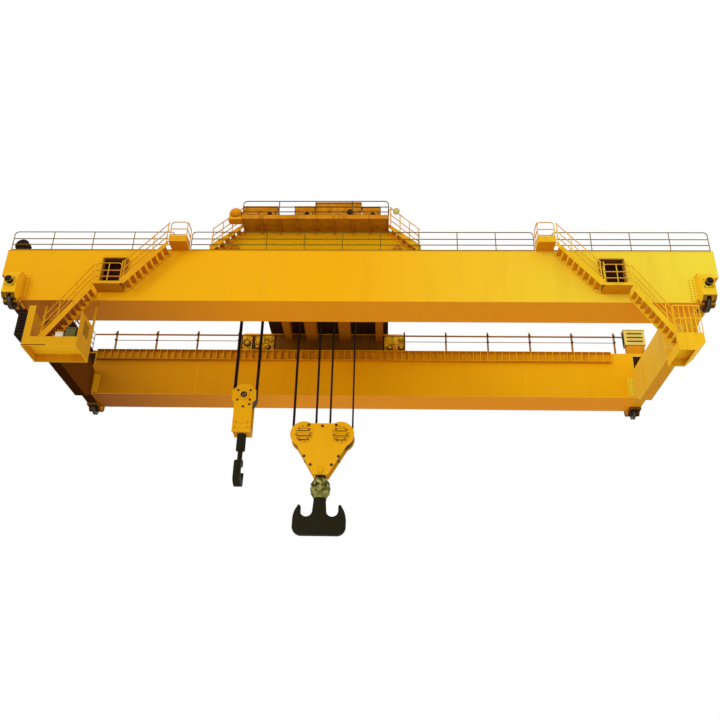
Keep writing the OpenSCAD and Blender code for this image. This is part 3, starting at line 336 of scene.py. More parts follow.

# %% [markdown]
# Yellow isn't one colour on a crane. Machines are orange with oil on them. The rear girder is painted deeper than
# the front one, the handrails dark and what hangs under the deck brown, all as painted shade, and a few coats that
# stand in shade are paler, as painted light. A table keeps the coats side by side, as on a colour card: new,
# painted light at the right end, underside, underside at the left end, dirt and worn. The underside colours are
# painted shade, and painted light where they are paler.

# %% The crane's paints
# Each coat stands under the name of the material slot that it usually fills.
PAINTS = {
    "yellow_paint": {
        "crane_yellow": ("FFBA0C FCEE44 F09606 A85E06 C0800E F8C850", dict(streak=0.16)),
        # A deeper yellow than the front girder's, and darker on its sides towards the left end: painted shade, for
        # the front girder and the trolley shade the rear girder.
        "far_yellow": ("FFB004 FFC20C F09606 904C04 C07A0C F6BC50", dict(streak=0.12, side_dark=0.6)),
        "block_yellow": ("F8B80E F8B80E E09A0E C88410 A86A10 F8D470", dict(streak=0.2, scale=3.0)),
        # Paler than the girder's yellow, with no underside colour on its sides: painted light against the shade
        # under the trolley's walkway.
        "frame_yellow": ("FFC00A FFC410 E0900A A8660C D8860A FBC850",
            dict(streak=0.08, scale=2.5, start=0.0)),
        # Paler, with no underside colour on its sides, as painted light against the shade it stands in, and darker
        # on its sides towards the left end, as painted shade.
        "band_yellow": ("FFC408 FFD010 D08808 8A4C08 8A4C0C F6BC50",
            dict(streak=0.2, side_dark=0.5, start=0.0)),
        # Very dark underneath, as painted shade; the sides get no underside colour.
        "box_yellow": ("FFC014 FFD024 6A3C0C 2E180A 9A5C0C F6C860",
            dict(streak=0.25, scale=3.0, start=0.0)),
        "housing_yellow": ("FFC420 FFCE2C B0700C 7A440C 3A1C08 8A4C0E",
            dict(streak=0.9, scale=3.0, patch=4.0, fade=0.8, blots=(0.45, 0.6))),
        # Paler underneath than on top: painted light under the platforms.
        "platform_yellow": ("D8980E FFC81E FFC820 FFC01C A8660E F8CC60", dict(scale=4.0)),
        "lamp_lens": ("F0E890 F0E890 E0D880 E0D880 B8A850 FFFFF0", dict(roughness=0.2)),
        "cabinet_cream": ("F0C840 F8E070 C08820 A87018 8A6018 FFF0B0", dict(streak=0.4, scale=4.0)),
        "tool_white": ("ECE8D8 ECE8D8 C8BC90 B8A878 8A6A30 FFFFF8", dict(streak=0.5, scale=4.0))},
    "orange_paint": {
        "machine_orange": ("F0980E F09C12 A8600A 723E0A 6A3C0C EFB654",
            dict(streak=0.45, scale=3.0, patch=1.3, fade=0.3, blots=(0.46, 0.6))),
        "walkway_orange": ("DC8A0E DC8A0E B8760C 94600C 5A380A E8A040",
            dict(streak=0.6, scale=3.0, patch=1.0, fade=0.3, blots=(0.46, 0.6))),
        # Dark brown: painted shade, under the trolley deck, on the rear wheel boxes and on the left end walkway.
        "dark_underframe": ("8A5A1A 8A5A1A 3A1E0A 2A160A 3A200C C08A3A",
            dict(roughness=0.65, streak=0.6, scale=3.0)),
        # A deeper orange between the ribs of the bracket band: painted shade in the recesses.
        "recess_brown": ("E89C10 FFC01C A8620A 5A2E08 7A440C E0A040", dict(streak=0.5, scale=3.0)),
        # The left end carriage in dark brown: painted shade, for its inner side gets no light.
        "carriage_brown": ("6E3A0A 6E3A0A 4A2408 381A06 2A1608 D89A30", dict(streak=0.5, shine=0.0)),
        # The right end carriage in a bright orange: painted light, for its inner side is lit.
        "carriage_orange": ("FFB828 FFD040 DC960C B0700C B0700C F6CC70", {}),
        "guard_brown": ("A46C22 B87E34 6A4012 5A3410 4A2C0E D8A050",
            dict(streak=0.5, waves=0.0, scale=5.0))},
    "rail_paint": {
        "stair_yellow": ("F2AA0E FFDA28 D88A08 9A540A 96580E F8CC60", dict(scale=4.0)),
        # The handrails, olive on the girders and dark on the trolley: painted shade, as thin rails look dark
        # against the bright background.
        "rail_olive": ("8E6E1A 96781E 6A5014 5A4214 4A3614 C8A850", dict(streak=0.4, waves=0.0, scale=5.0)),
        "rail_dark": ("5E4A1E 66521E 3A2C12 34260F 30220E A88A48", dict(streak=0.5, waves=0.0, scale=5.0))},
    "dark_paint": {
        "black_paint": ("2A1C14 2A1E16 160E0A 120C0A 5A3A22 6A5644",
            dict(roughness=0.6, waves=0.001, scale=4.0)),
        "passage_dark": ("42200E 42200E 2A1408 2A1408 1C0E06 6A3A1C", dict(roughness=0.8, waves=0.0)),
        "desk_green": ("6A6838 6A6838 45421F 3A3618 2A2410 B0AC88", dict(streak=0.5, scale=4.0))},
    "hook_steel": {
        "olive_paint": ("C2BC68 C2BC68 8A8844 8A8844 22200C 26240C",
            dict(streak=1.0, wear=0.9, waves=0.0, scale=5.0, patch=5.5, fade=0.95, blots=(0.42, 0.56)))}}
finishes, usual_slot = {}, {}
for slot, coats in PAINTS.items():
    for name, (colours, settings) in coats.items():
        finishes[name] = paint(name, colours, **settings)
        usual_slot[name] = slot
print("paints", len(finishes))

# %% [markdown]
# Bare steel is a metal: nearly all of its colour is reflection, so roughness does most of the work.
# Wheels are polished by rolling, rails are rusty at the sides, and ropes and hooks are greased or
# oil-blackened, which makes them dark and hardly a metal to the eye. Rust lies on steel as dirt lies
# on paint, so the streaks group is used again, broken up by a fine speckle.

# %% Bare steel
def bare_steel(name, colour, rust, metallic=0.9, roughness=0.35, rusty=0.5):
    material, tree, shader = start_material(name, 0.1)
    weather = use(tree, streaks, Streak_Scale=6.0, Patch_Scale=3.0)
    speckle = noise(tree, object_place(tree), 25.0, 5.0)
    amount = maths(tree, "MULTIPLY", maths(tree, "MAXIMUM", weather["Streaks"], weather["Fading"]), rusty)
    amount = maths(tree, "MULTIPLY", amount, ramp(tree, speckle, 0.3, 0.6))
    tree.links.new(layer(tree, amount, screen(colour), screen(rust)), shader["Base Color"])
    tree.links.new(maths(tree, "ADD", maths(tree, "MULTIPLY", amount, 0.4), roughness), shader["Roughness"])
    tree.links.new(ramp(tree, amount, 0.0, 1.0, metallic, metallic * 0.2), shader["Metallic"])
    tree.links.new(raised_normal(tree, maths(tree, "MULTIPLY", speckle, 0.001)), shader["Normal"])
    return material


for slot, name, colour, rust, settings in (
        # The wheels' steel is dark: partly dirt, and partly painted shade, for the wheels sit in shadow inside
        # their boxes.
        ("wheel_steel", "tread_steel", "5A5248", "3A2416", dict(metallic=0.8, roughness=0.45)),
        ("rail_steel", "rail_steel", "6E665C", "5A3A22", dict(rusty=0.9)),
        ("drum_steel", "drum_steel", "4C463E", "2A2018", dict(metallic=0.7, roughness=0.45)),
        ("rope_steel", "greased_rope", "221810", "3A2210", dict(metallic=0.2, roughness=0.6, rusty=0.8)),
        ("hook_steel", "forged_black", "1E1B09", "2C280C", dict(metallic=0.0, roughness=0.6, rusty=0.7)),
        ("rail_steel", "bolt_steel", "5A4A38", "5A3418", dict(metallic=0.6, roughness=0.45))):
    finishes[name] = bare_steel(name, colour, rust, **settings)
    usual_slot[name] = slot
print("paints and steels", len(finishes))

# %% [markdown]
# Each imported node keeps its mesh, which is already true, and only its material changes. Most nodes follow the
# paint that the record names. What stands at the back or hangs under the deck, where little light reaches it, gets
# a darker coat of its own, which is painted shade. The left end carriage gets a dark coat as painted shade and the
# right one a bright coat as painted light, and the handrails a dark coat, as painted shade.

# %% Finish the imported nodes
BY_SLOT = {"yellow_paint": "crane_yellow", "orange_paint": "machine_orange", "rail_paint": "stair_yellow",
    "dark_paint": "black_paint", "wheel_steel": "tread_steel", "rail_steel": "rail_steel",
    "drum_steel": "drum_steel", "rope_steel": "greased_rope", "hook_steel": "forged_black"}
BY_FINISH = {
    "far_yellow": "rear_girder rear_side_frame",
    "frame_yellow": "front_side_frame",
    "band_yellow": "rear_rib_band",
    "box_yellow": "front_left_wheel_box front_right_wheel_box",
    "block_yellow": "main_block aux_block",
    "platform_yellow": "left_boarding_platform right_boarding_platform",
    "dark_underframe": "rear_left_wheel_box rear_right_wheel_box left_end_walkway trolley_deck",
    "walkway_orange": "trolley_walkway",
    "carriage_brown": "left_end_carriage",
    "carriage_orange": "right_end_carriage",
    "rail_olive": "front_handrail",
    "rail_dark": "trolley_handrail",
    "guard_brown": "left_hatch_guard right_hatch_guard rear_supply_line"}
by_node = {name: finish for finish, names in BY_FINISH.items() for name in names.split()}
for part in frame["record"]["subparts"]:
    materials = frame["nodes"][part["node"]].data.materials
    materials.clear()
    materials.append(finishes[by_node.get(part["node"], BY_SLOT[part["material_slot"]])])
print("finished", len(frame["nodes"]), "nodes,", len(by_node), "of them in a finish of their own")

# %% [markdown]
# The shop floor only catches light. One pale square is enough, a little below the lowest place that the main hook
# can reach. It isn't a piece of the crane.

# %% Floor
FLOOR_Z, FLOOR_HALF = -20.8, 60
FLOOR_MIDDLE_X = 15.3


def finished(shape, name, material):
    """Turns a bmesh into an object whose place is in its mesh."""
    mesh = bpy.data.meshes.new(name)
    shape.to_mesh(mesh)
    shape.free()
    mesh.materials.append(material)
    piece = bpy.data.objects.new(name, mesh)
    scene.collection.objects.link(piece)
    return piece


slab = bmesh.new()
bmesh.ops.create_grid(slab, x_segments=1, y_segments=1, size=FLOOR_HALF)
bmesh.ops.translate(slab, verts=slab.verts, vec=(FLOOR_MIDDLE_X, 0, FLOOR_Z))
floor_paint = bpy.data.materials.new("pale_floor")
floor_paint.use_nodes = True
floor_shader = floor_paint.node_tree.nodes["Principled BSDF"].inputs
floor_shader["Base Color"].default_value = (0.92, 0.92, 0.92, 1)
floor_shader["Roughness"].default_value = 0.8
finished(slab, "floor", floor_paint)
print("floor at", FLOOR_Z)

# %% [markdown]
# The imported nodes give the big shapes. What makes a machine look made is its small ironmongery:
# bolts, clips, caps, welds, hinges. Each kind is gathered into one object per body, because a crane
# has thousands of bolts and an object for each would be unworkable. A bmesh operator walks through
# the whole shape that it works on, so a shape that grew bolt by bolt would get slower and slower.
# Each part is therefore made in a small bmesh of its own and then poured into the big one.

# %% Helpers for small parts
UP = Vector((0, 0, 1))
SIDES = (-1, 1)
scratch = bpy.data.meshes.new("scratch")


def row(start, pitch, count):
    """Evenly spaced places."""
    return [start + pitch * k for k in range(count)]


def pour(small, shape, matrix=None):
    """Moves a small bmesh into place and adds it to a big one."""
    if matrix is not None:
        bmesh.ops.transform(small, matrix=matrix, verts=small.verts)
    small.to_mesh(scratch)
    small.free()
    shape.from_mesh(scratch)


def turned_to(direction):
    """A rotation that takes the Z axis to a direction."""
    return Vector(direction).to_track_quat("Z", "Y").to_matrix().to_4x4()


print("two sides:", SIDES)

# %% [markdown]
# Flat bar, round bar and hexagon heads are the alphabet of ironmongery. A box is a cube stretched
# between two corners, a rod is a cone with two equal radii, and a bolt is a short rod with six sides.
# Round sides are shaded smooth, so that twelve of them are enough.

# %% Boxes, rods and bolts
def add_box(shape, one, other, soften=0.0, matrix=None):
    """A box between any two opposite corners, with its edges cut off where soften is given."""
    low, high = (Vector([pick(pair) for pair in zip(one, other)]) for pick in (min, max))
    small = bmesh.new()
    bmesh.ops.create_cube(small, size=1.0, matrix=Matrix.Translation((low + high) / 2)
        @ Matrix.Diagonal((*(high - low), 1.0)))
    if soften:
        bmesh.ops.bevel(small, geom=small.edges, offset=soften, affect="EDGES", segments=2, profile=0.5,
            material=-1)
    pour(small, shape, matrix)


def add_rod(shape, start, end, radius, sides=12, matrix=None):
    """A round bar."""
    start, end = Vector(start), Vector(end)
    small = bmesh.new()
    bmesh.ops.create_cone(small, cap_ends=True, segments=sides, radius1=radius, radius2=radius,
        depth=(end - start).length, matrix=Matrix.Translation((start + end) / 2) @ turned_to(end - start))
    if sides > 8:
        for face in small.faces:
            face.smooth = len(face.verts) < 5
    pour(small, shape, matrix)


def add_bolt(shape, foot, axis, across=0.036, height=0.022):
    """A hexagon head standing on a face."""
    foot, axis = Vector(foot), Vector(axis).normalized()
    add_rod(shape, foot - axis * 0.002, foot + axis * height, across / 2, sides=6)


def add_bolts(shape, xs, ys, zs, axis, *sizes):
    """Equal bolts at every combination of some places along X, Y and Z."""
    for foot in itertools.product(xs, ys, zs):
        add_bolt(shape, foot, axis, *sizes)


def add_bolt_ring(shape, centre, axis, radius, count, across, height, turn=0.0):
    """Bolts on a circle round an axis."""
    frame_of = Matrix.Translation(Vector(centre)) @ turned_to(axis)
    for angle in row(turn, math.tau / count, count):
        foot = frame_of @ Vector((math.cos(angle) * radius, math.sin(angle) * radius, 0))
        add_bolt(shape, foot, axis, across, height)


print("boxes, rods and bolts can be made")

# %% [markdown]
# Caps, hubs, knobs and rubbers are made on a lathe. Spin does the same: it carries an outline of
# radii and heights round an axis. Its first and last copies are merged, so that no seam is left.

# %% Turned shapes
def add_turned(shape, centre, axis, outline, steps=32):
    """Spins an outline of (radius, height) pairs about an axis through a centre."""
    small = bmesh.new()
    corners = [small.verts.new((r, 0, h)) for r, h in outline]
    lines = [small.edges.new(pair) for pair in zip(corners, corners[1:])]
    bmesh.ops.spin(small, geom=corners + lines, cent=(0, 0, 0), axis=(0, 0, 1), angle=math.tau,
        steps=steps, use_merge=True, use_duplicate=False)
    for face in small.faces:
        face.smooth = True
    pour(small, shape, Matrix.Translation(Vector(centre)) @ turned_to(axis))


print("outlines can be turned")

# %% [markdown]
# Pieces are begun as empty shapes on a body, filled by loops, and closed together. Closing merges
# doubles, turns the faces outwards, gives the finish and lets the piece ride on its body. Done in one
# place, none of this can be forgotten for a single piece.

# %% Beginning and closing pieces
open_shapes = {}


def begin(body, **finish_of):
    """Opens a shape for each name, on a body. A finish may be followed by a slot name, which closing splits off
    and doesn't use.
    """
    for name, finish in finish_of.items():
        open_shapes[name] = (bmesh.new(), body, finish)
    return [open_shapes[name][0] for name in finish_of]


def close_all():
    """Cleans the open shapes, makes them objects, and lets them ride on their bodies."""
    for name, (shape, body, finish) in open_shapes.items():
        finish, _, slot = finish.partition(" ")
        bmesh.ops.remove_doubles(shape, verts=shape.verts, dist=0.00001)
        bmesh.ops.recalc_face_normals(shape, faces=shape.faces)
        piece = finished(shape, name, finishes[finish])
        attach(piece, body)
        triangles = sum(len(p.vertices) - 2 for p in piece.data.polygons)
        print(f"{name}: {triangles} triangles on {body}")
    open_shapes.clear()


print("small parts can be made")

# %% [markdown]
# Most fittings stand on a wall that looks along the runway: a web, a cheek plate, a cabinet's front.
# Their places could be given as X, Y and Z, but both sides of a part would then need numbers of their
# own. A wall's own terms serve both: so much across, so much up, and so much in front of it.

# %% Fittings on a wall
class Face:
    """A wall that looks along Y, to the low side where out is -1 and to the high side where it is 1."""

    def __init__(self, x, y, z, out):
        self.middle, self.out = Vector((x, y, z)), out

    def at(self, across, up, front=0.0):
        return self.middle + Vector((across, self.out * front, up))

    def box(self, shape, across, up, front, soften=0.0):
        """A box between a pair of limits in each direction."""
        add_box(shape, *(self.at(*corner) for corner in zip(across, up, front)), soften)

    def plate(self, shape, across, up, wide, tall, front, soften=0.0):
        """A box about a middle, between two depths."""
        self.box(shape, (across - wide / 2, across + wide / 2), (up - tall / 2, up + tall / 2), front, soften)

    def rim(self, shape, across, up, thick, front, inset=0.0, soften=0.0):
        """Four bars round a rectangle. The upright ones start at an inset from the corners."""
        for low in (up[0], up[1] - thick):
            self.box(shape, across, (low, low + thick), front, soften)
        for low in (across[0], across[1] - thick):
            self.box(shape, (low, low + thick), (up[0] + inset, up[1] - inset), front, soften)

    def bolts(self, shape, across, up, front, *sizes):
        """Equal bolts at every combination of some places across and up."""
        for place in itertools.product(across, up):
            add_bolt(shape, self.at(*place, front), (0, self.out, 0), *sizes)

    def bolt_ring(self, shape, up, front, radius, count, *sizes):
        add_bolt_ring(shape, self.at(0, up, front), (0, self.out, 0), radius, count, *sizes)

    def turned(self, shape, across, up, front, outline, steps=32):
        add_turned(shape, self.at(across, up, front), (0, self.out, 0), outline, steps)


print("a wall can carry fittings")

# %% [markdown]
# Girders, end carriages and pins are what most fittings are placed by. Their boxes and places are
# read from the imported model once, here, and given the names that the rest of the script uses.

# %% Places that come back
girder_low, girder_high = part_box("front_girder")
rear_low, rear_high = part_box("rear_girder")
SPAN = sum(corner[0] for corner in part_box("right_end_carriage")) / 2
GIRDER_TOP = girder_high[2]
GIRDER_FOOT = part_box("left_end_carriage")[1][0]
WEBS = [Face(0, y, 0, out) for box in (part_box("front_girder"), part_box("rear_girder"))
    for y, out in ((box[0][1], -1), (box[1][1], 1))]
CORNERS = ("front_left", "front_right", "rear_left", "rear_right")
pins = {joint["child"]: Vector(joint["pos_m"]) for joint in frame["joints"] if "pos_m" in joint}
print("span", round(SPAN, 3), "girder top", round(GIRDER_TOP, 3), "pins", len(pins))

# %% [markdown]
# A box girder is four plates welded along their edges. The plates come in lengths of about six
# metres, so every girder shows upright butt welds, and its flanges stand a little proud of the webs.
# A weld could be a bump in the paint, but it catches the light along its whole length, so it is a low
# strip, raised by a few millimetres.

# %% Girder seams and flange edges
SEAM_PITCH, SEAMS = 6.1, 4
BEAD, PROUD = 0.012, 0.004
LIP, LIP_T = 0.014, 0.03
seams, = begin("bridge", girder_seams="crane_yellow")
beads = [(x - BEAD, x + BEAD) for x in row(SEAM_PITCH, SEAM_PITCH, SEAMS)]
for web in WEBS:
    for bead in beads:
        web.box(seams, bead, (girder_low[2] + 0.04, GIRDER_TOP - 0.04), (0, PROUD))
    web.box(seams, (GIRDER_FOOT, SPAN - GIRDER_FOOT), (girder_low[2], girder_low[2] + LIP_T), (0, LIP))
    web.box(seams, (girder_low[0], girder_high[0]), (GIRDER_TOP - LIP_T, GIRDER_TOP), (0, LIP))
for low, high in ((girder_low, girder_high), (rear_low, rear_high)):
    for start, end in beads:
        add_box(seams, (start, low[1] + 0.02, low[2] - PROUD), (end, high[1] - 0.02, low[2]))
close_all()

# %% [markdown]
# The girders are bolted to the end carriages, so that the crane can be taken apart for the road.
# Joint plates lap over each corner in two rows of bolts. They are flat bar with softened edges, and
# one loop serves all four webs, because a place on a wall turns with the wall.

# %% Joint plates and their bolts
PLATE_T, PLATE_W, PLATE_H = 0.022, 0.34, 1.12
PLATE_FOOT = girder_low[2] + 0.08
plates, bolts = begin("bridge", joint_plates="crane_yellow", joint_bolts="bolt_steel")
for web in WEBS:
    for end, inward in ((GIRDER_FOOT, 1), (SPAN - GIRDER_FOOT, -1)):
        web.box(plates, (end, end + inward * PLATE_W), (PLATE_FOOT, PLATE_FOOT + PLATE_H), (0, PLATE_T),
            0.004)
        across = (end + inward * 0.09, end + inward * 0.25)
        web.bolts(bolts, across, row(PLATE_FOOT + 0.08, 0.137, 8), PLATE_T)
close_all()

# %% [markdown]
# A crane rail isn't bolted through: pairs of clips press on its foot every half metre, so that it can
# creep when it warms up. A clip is a small block with one stud. Their wedge could be modelled, but
# there are hundreds of them, so each has only a few faces.

# %% Rail clips
CLIP_PITCH, CLIP_START, CLIP_T = 0.55, 0.8, 0.035
clips, = begin("bridge", rail_clips="rail_steel")
rail_low, rail_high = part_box("front_trolley_rail")
clips_fit = int((rail_high[0] - rail_low[0] - 2 * CLIP_START) / CLIP_PITCH)
clip_xs = row(rail_low[0] + CLIP_START, CLIP_PITCH, clips_fit)
for y, s in itertools.product((pins["front_left_trolley_wheel"].y, pins["rear_left_trolley_wheel"].y), SIDES):
    add_bolts(clips, clip_xs, (y + s * 0.105,), (GIRDER_TOP + CLIP_T,), UP, 0.03, 0.025)
    for x in clip_xs:
        add_box(clips, (x - 0.035, y + s * 0.055, GIRDER_TOP + 0.002),
            (x + 0.035, y + s * 0.13, GIRDER_TOP + CLIP_T))
close_all()

# %% [markdown]
# Every axle ends in a bearing, and a bearing in a cap: a flanged disc, domed in the middle and held
# by a ring of bolts. It is turned work, so it is a turned outline. Given in shares of the radius, the
# same outline serves both kinds of wheel. The crane's axles lie along X and the trolley's along Y.

# %% Bearing caps
CAP_OUTLINE = ((1, 0), (1, 0.16), (0.94, 0.22), (0.66, 0.22), (0.6, 0.34), (0.2, 0.4), (0, 0.4))
for owner, body, ends_at, along, radius in (("crane", "bridge", "_wheel_box", 0, 0.19),
        ("trolley", "trolley", "_trolley_wheel", 1, 0.2)):
    caps, heads = begin(body, **{owner + "_wheel_caps": "machine_orange",
        owner + "_wheel_cap_bolts": "bolt_steel"})
    for corner in CORNERS:
        for limit, out in zip(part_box(corner + ends_at), SIDES):
            centre, axis = pins[f"{corner}_{owner}_wheel"].copy(), Vector((0, 0, 0))
            centre[along], axis[along] = limit[along], out
            add_turned(caps, centre, axis, [(radius * r, radius * h) for r, h in CAP_OUTLINE])
            add_bolt_ring(heads, centre + axis * radius * 0.22, axis, radius * 0.8, 8, radius * 0.16,
                radius * 0.1)
    close_all()

# %% [markdown]
# Handrail posts stand on small foot plates with two bolts each. The rail stops at the landings and
# starts again behind them, so the line of feet has three parts. The ends of each come from the packed
# boxes and its pitch from the number of bays, so that feet and posts meet.

# %% Foot plates of the handrails
TUBE, FOOT_T, LANDING_GAP = 0.0225, 0.012, 0.8
feet, heads = begin("bridge", handrail_feet="rail_olive", handrail_foot_bolts="bolt_steel")
low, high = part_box("front_handrail")
handrail_y = (low[1] + high[1]) / 2
left_end, right_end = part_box("left_landings")[1][0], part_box("right_landings")[0][0]
for start, end, bays in ((low[0], left_end - LANDING_GAP, 4), (left_end, right_end, 9),
        (right_end + LANDING_GAP, high[0], 4)):
    for x in row(start + TUBE, (end - start - 2 * TUBE) / bays, bays + 1):
        add_box(feet, (x - 0.06, handrail_y - 0.05, GIRDER_TOP),
            (x + 0.06, handrail_y + 0.05, GIRDER_TOP + FOOT_T))
        add_bolts(heads, (x - 0.042, x + 0.042), (handrail_y,), (GIRDER_TOP + FOOT_T,), UP, 0.022, 0.014)
close_all()

# %% [markdown]
# Hoist rope is six strands laid round a core. Six tubes could be wound round each other, but one
# lobed ring does as well: it is spun about the rope's own axis and moved along it at the same time,
# which is what a screw does, and the lobes come out as strands.

# %% Hoist ropes
LAY, LOBES, RINGS_A_TURN = 0.42, 6, 10
AUX_SHEAVE_R = 0.55
rope_low, rope_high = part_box("aux_ropes")
ROPE_R = (rope_high[0] - rope_low[0]) / 2 - AUX_SHEAVE_R


def add_rope(shape, x, y, low, high):
    """One fall of rope: a ring with a lobe for each strand, screwed from low to high."""
    small = bmesh.new()
    ring = bmesh.ops.create_circle(small, cap_ends=False, radius=ROPE_R, segments=LOBES * 2)["verts"]
    for vert in ring[1::2]:
        vert.co *= 0.8
    rims = list({e for v in ring for e in v.link_edges})
    turns = (high - low) / LAY
    steps = round(turns * RINGS_A_TURN)
    bmesh.ops.spin(small, geom=ring + rims, cent=(0, 0, 0), axis=(0, 0, 1), angle=math.tau * turns,
        dvec=(0, 0, (high - low) / steps), steps=steps, use_merge=False)
    bmesh.ops.remove_doubles(small, verts=small.verts, dist=0.00001)
    bmesh.ops.holes_fill(small, edges=small.edges, sides=LOBES * 2)
    bmesh.ops.recalc_face_normals(small, faces=small.faces)
    for face in small.faces:
        face.smooth = len(face.verts) == 4
    pour(small, shape, Matrix.Translation((x, y, low)))


print("rope radius", round(ROPE_R, 4))

# %% [markdown]
# The imported ropes are plain rods in one mesh. Sorting its points by place gives the middle, the foot and the
# head of each rod, and the strands hang exactly there. Every rope hangs between the trolley and a block.

# %% Where the ropes hang
def rope_places(node_name):
    """The rods of a packed rope node, as x, y, lowest and highest z."""
    rods = {}
    for v in frame["nodes"][node_name].data.vertices:
        near = [key for key in rods if max(abs(v.co.x - key[0]), abs(v.co.y - key[1])) < ROPE_R * 2.2]
        rods.setdefault(near[-1] if near else (v.co.x, v.co.y), []).append(v.co.copy())
    places = []
    for found in rods.values():
        middles = [{round(co[axis], 4) for co in found} for axis in (0, 1)]
        heights = [co.z for co in found]
        places.append((*(sum(values) / len(values) for values in middles), min(heights), max(heights)))
    return places


for name, block in (("main_ropes", "main_block"), ("aux_ropes", "aux_block")):
    rope = bmesh.new()
    places = rope_places(name)
    for place in places:
        add_rope(rope, *place)
    piece = finished(rope, name + "_strands", finishes["greased_rope"])
    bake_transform(piece)
    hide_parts(name)
    print(piece.name, len(places), "ropes,", len(piece.data.polygons), "faces")

# %% [markdown]
# On each drum the rope lies in turns that touch. They are a screw as well: a small circle is spun
# round the drum's axis while it moves along it. Stripes in the drum's finish would cost less, but its
# outline would stay smooth. The two halves of a drum are wound in opposite directions, from the ends
# towards the middle, so that the block rises straight up.

# %% Rope on the drums
COIL_STEPS, LANE_END, FLANGE_SPACE = 28, 0.27, 0.3
DRUM_RADII = {"left_main_drum": 0.6, "right_main_drum": 0.6, "aux_drum": 0.43}


def add_coil(shape, centre, radius, start, pitch, turns, thickness):
    """Turns of rope round an axis along Y."""
    small = bmesh.new()
    ring = bmesh.ops.create_circle(small, cap_ends=True, radius=thickness, segments=8,
        matrix=Matrix.Translation((radius + thickness, 0, 0)))["verts"]
    geometry = ring + list({e for v in ring for e in v.link_edges})
    geometry += list({f for v in ring for f in v.link_faces})
    bmesh.ops.spin(small, geom=geometry, cent=(0, 0, 0), axis=(0, 1, 0), angle=math.tau * turns,
        dvec=(0, pitch / COIL_STEPS, 0), steps=COIL_STEPS * turns, use_merge=False)
    for face in small.faces:
        face.smooth = True
    pour(small, shape, Matrix.Translation((centre.x, centre.y + start, centre.z)))


for name, radius in DRUM_RADII.items():
    low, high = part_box(name)
    barrel = (high[1] - low[1]) / 2 - FLANGE_SPACE
    pitch = ROPE_R * 2.1
    turns = int((barrel - LANE_END) / pitch)
    coil, = begin(name, **{name + "_rope": "greased_rope"})
    for s in SIDES:
        add_coil(coil, pins[name], radius, s * barrel, -s * pitch, turns, ROPE_R)
close_all()

# %% [markdown]
# The front girder can be walked through: two doorways lead into it, and behind each is a passage in shade. A real
# passage could be built, but only its near end is ever seen, so a lining of dark sheets stands behind the opening,
# and their dark colour is painted shade. The door is folded inwards against the jamb, and shows as a bright stile.

# %% Doorway linings and doors
DOOR_W, DOOR_LOW, DOOR_HIGH, DOOR_FRAME = 1.0, 0.88, 2.53, 0.06
LINING_HALF, LINING_LOW, LINING_HIGH, LINING_DEPTH = 0.95, 0.5, 2.98, 0.42
linings, doors, hinges = begin("bridge", doorway_linings="passage_dark orange_paint", doors="stair_yellow",
    door_hinges_and_bolts="bolt_steel")
for name, jamb in (("left_hatch_guard", 1), ("right_hatch_guard", -1)):
    low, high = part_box(name)
    way = Face((low[0] + high[0]) / 2, girder_low[1], 0, -1)
    across = (-LINING_HALF, LINING_HALF)
    way.box(linings, across, (LINING_LOW, LINING_HIGH), (-LINING_DEPTH, -LINING_DEPTH - 0.02))
    way.box(linings, across, (2.9, 2.92), (-0.08, -LINING_DEPTH))
    edge = jamb * (DOOR_W / 2 - 0.16)
    way.box(doors, (edge - 0.03, edge + 0.03), (DOOR_LOW + 0.02, DOOR_HIGH - 0.04), (0.1, -0.36), 0.008)
    for z in (DOOR_LOW + 0.3, DOOR_HIGH - 0.35):
        hinge = edge + jamb * 0.05
        add_rod(hinges, way.at(hinge, z, 0.06), way.at(hinge, z + 0.16, 0.06), 0.02)
    stile = (DOOR_W + DOOR_FRAME) / 2
    way.bolts(hinges, (-stile, stile), row(DOOR_LOW + 0.15, 0.3, 6), girder_low[1] - low[1], 0.03, 0.014)
    for s in SIDES:
        way.box(linings, (s * 0.93, s * LINING_HALF), (LINING_LOW, LINING_HIGH), (-0.08, -LINING_DEPTH))
close_all()

# %% [markdown]
# The main block hangs on eight falls of rope. Its two cheek plates carry the sheave pins in thick
# bosses, and flat keeper bars that are bolted across each boss keep the pins from turning. Tie bolts
# hold the plates apart, and the hook's crosshead turns in the lowest pair of bosses. All of it is
# flat bar, turned rings and bolts, placed on a wall for each cheek plate.

# %% Main block
BOSS = 0.059
CHEEK_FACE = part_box("main_block")[1][1] - BOSS
KEEPERS = ((0.19, 0.27, 0.085), (-0.05, 0.33, 0.1), (-0.26, 0.24, 0.085))
MAIN_BOLTS = ((-0.82, -1.12), (0.82, -1.12), (-0.66, 0.47), (0.66, 0.47), (0, 0.42), (-0.5, -1.55),
    (0.5, -1.55))
CROSSHEAD = -1.83
main_middle = (pins["left_main_sheave"] + pins["right_main_sheave"]) / 2


def begin_block(name):
    """Bars, bolts and dark pieces, which both blocks have. The dark pieces are washers, and on the main block also
    black plates behind the keeper bars, which are painted shadow.
    """
    return begin(name, **{name + "_bars": "block_yellow", name + "_dark_pieces": "black_paint",
        name + "_bolts": "bolt_steel"})


def washers(cheek, shadows, studs, places, radius, thick, steps, *head):
    for across, up in places:
        cheek.turned(shadows, across, up, 0, [(radius, 0), (radius, thick), (0, thick)], steps)
        cheek.bolts(studs, (across,), (up,), thick, *head)


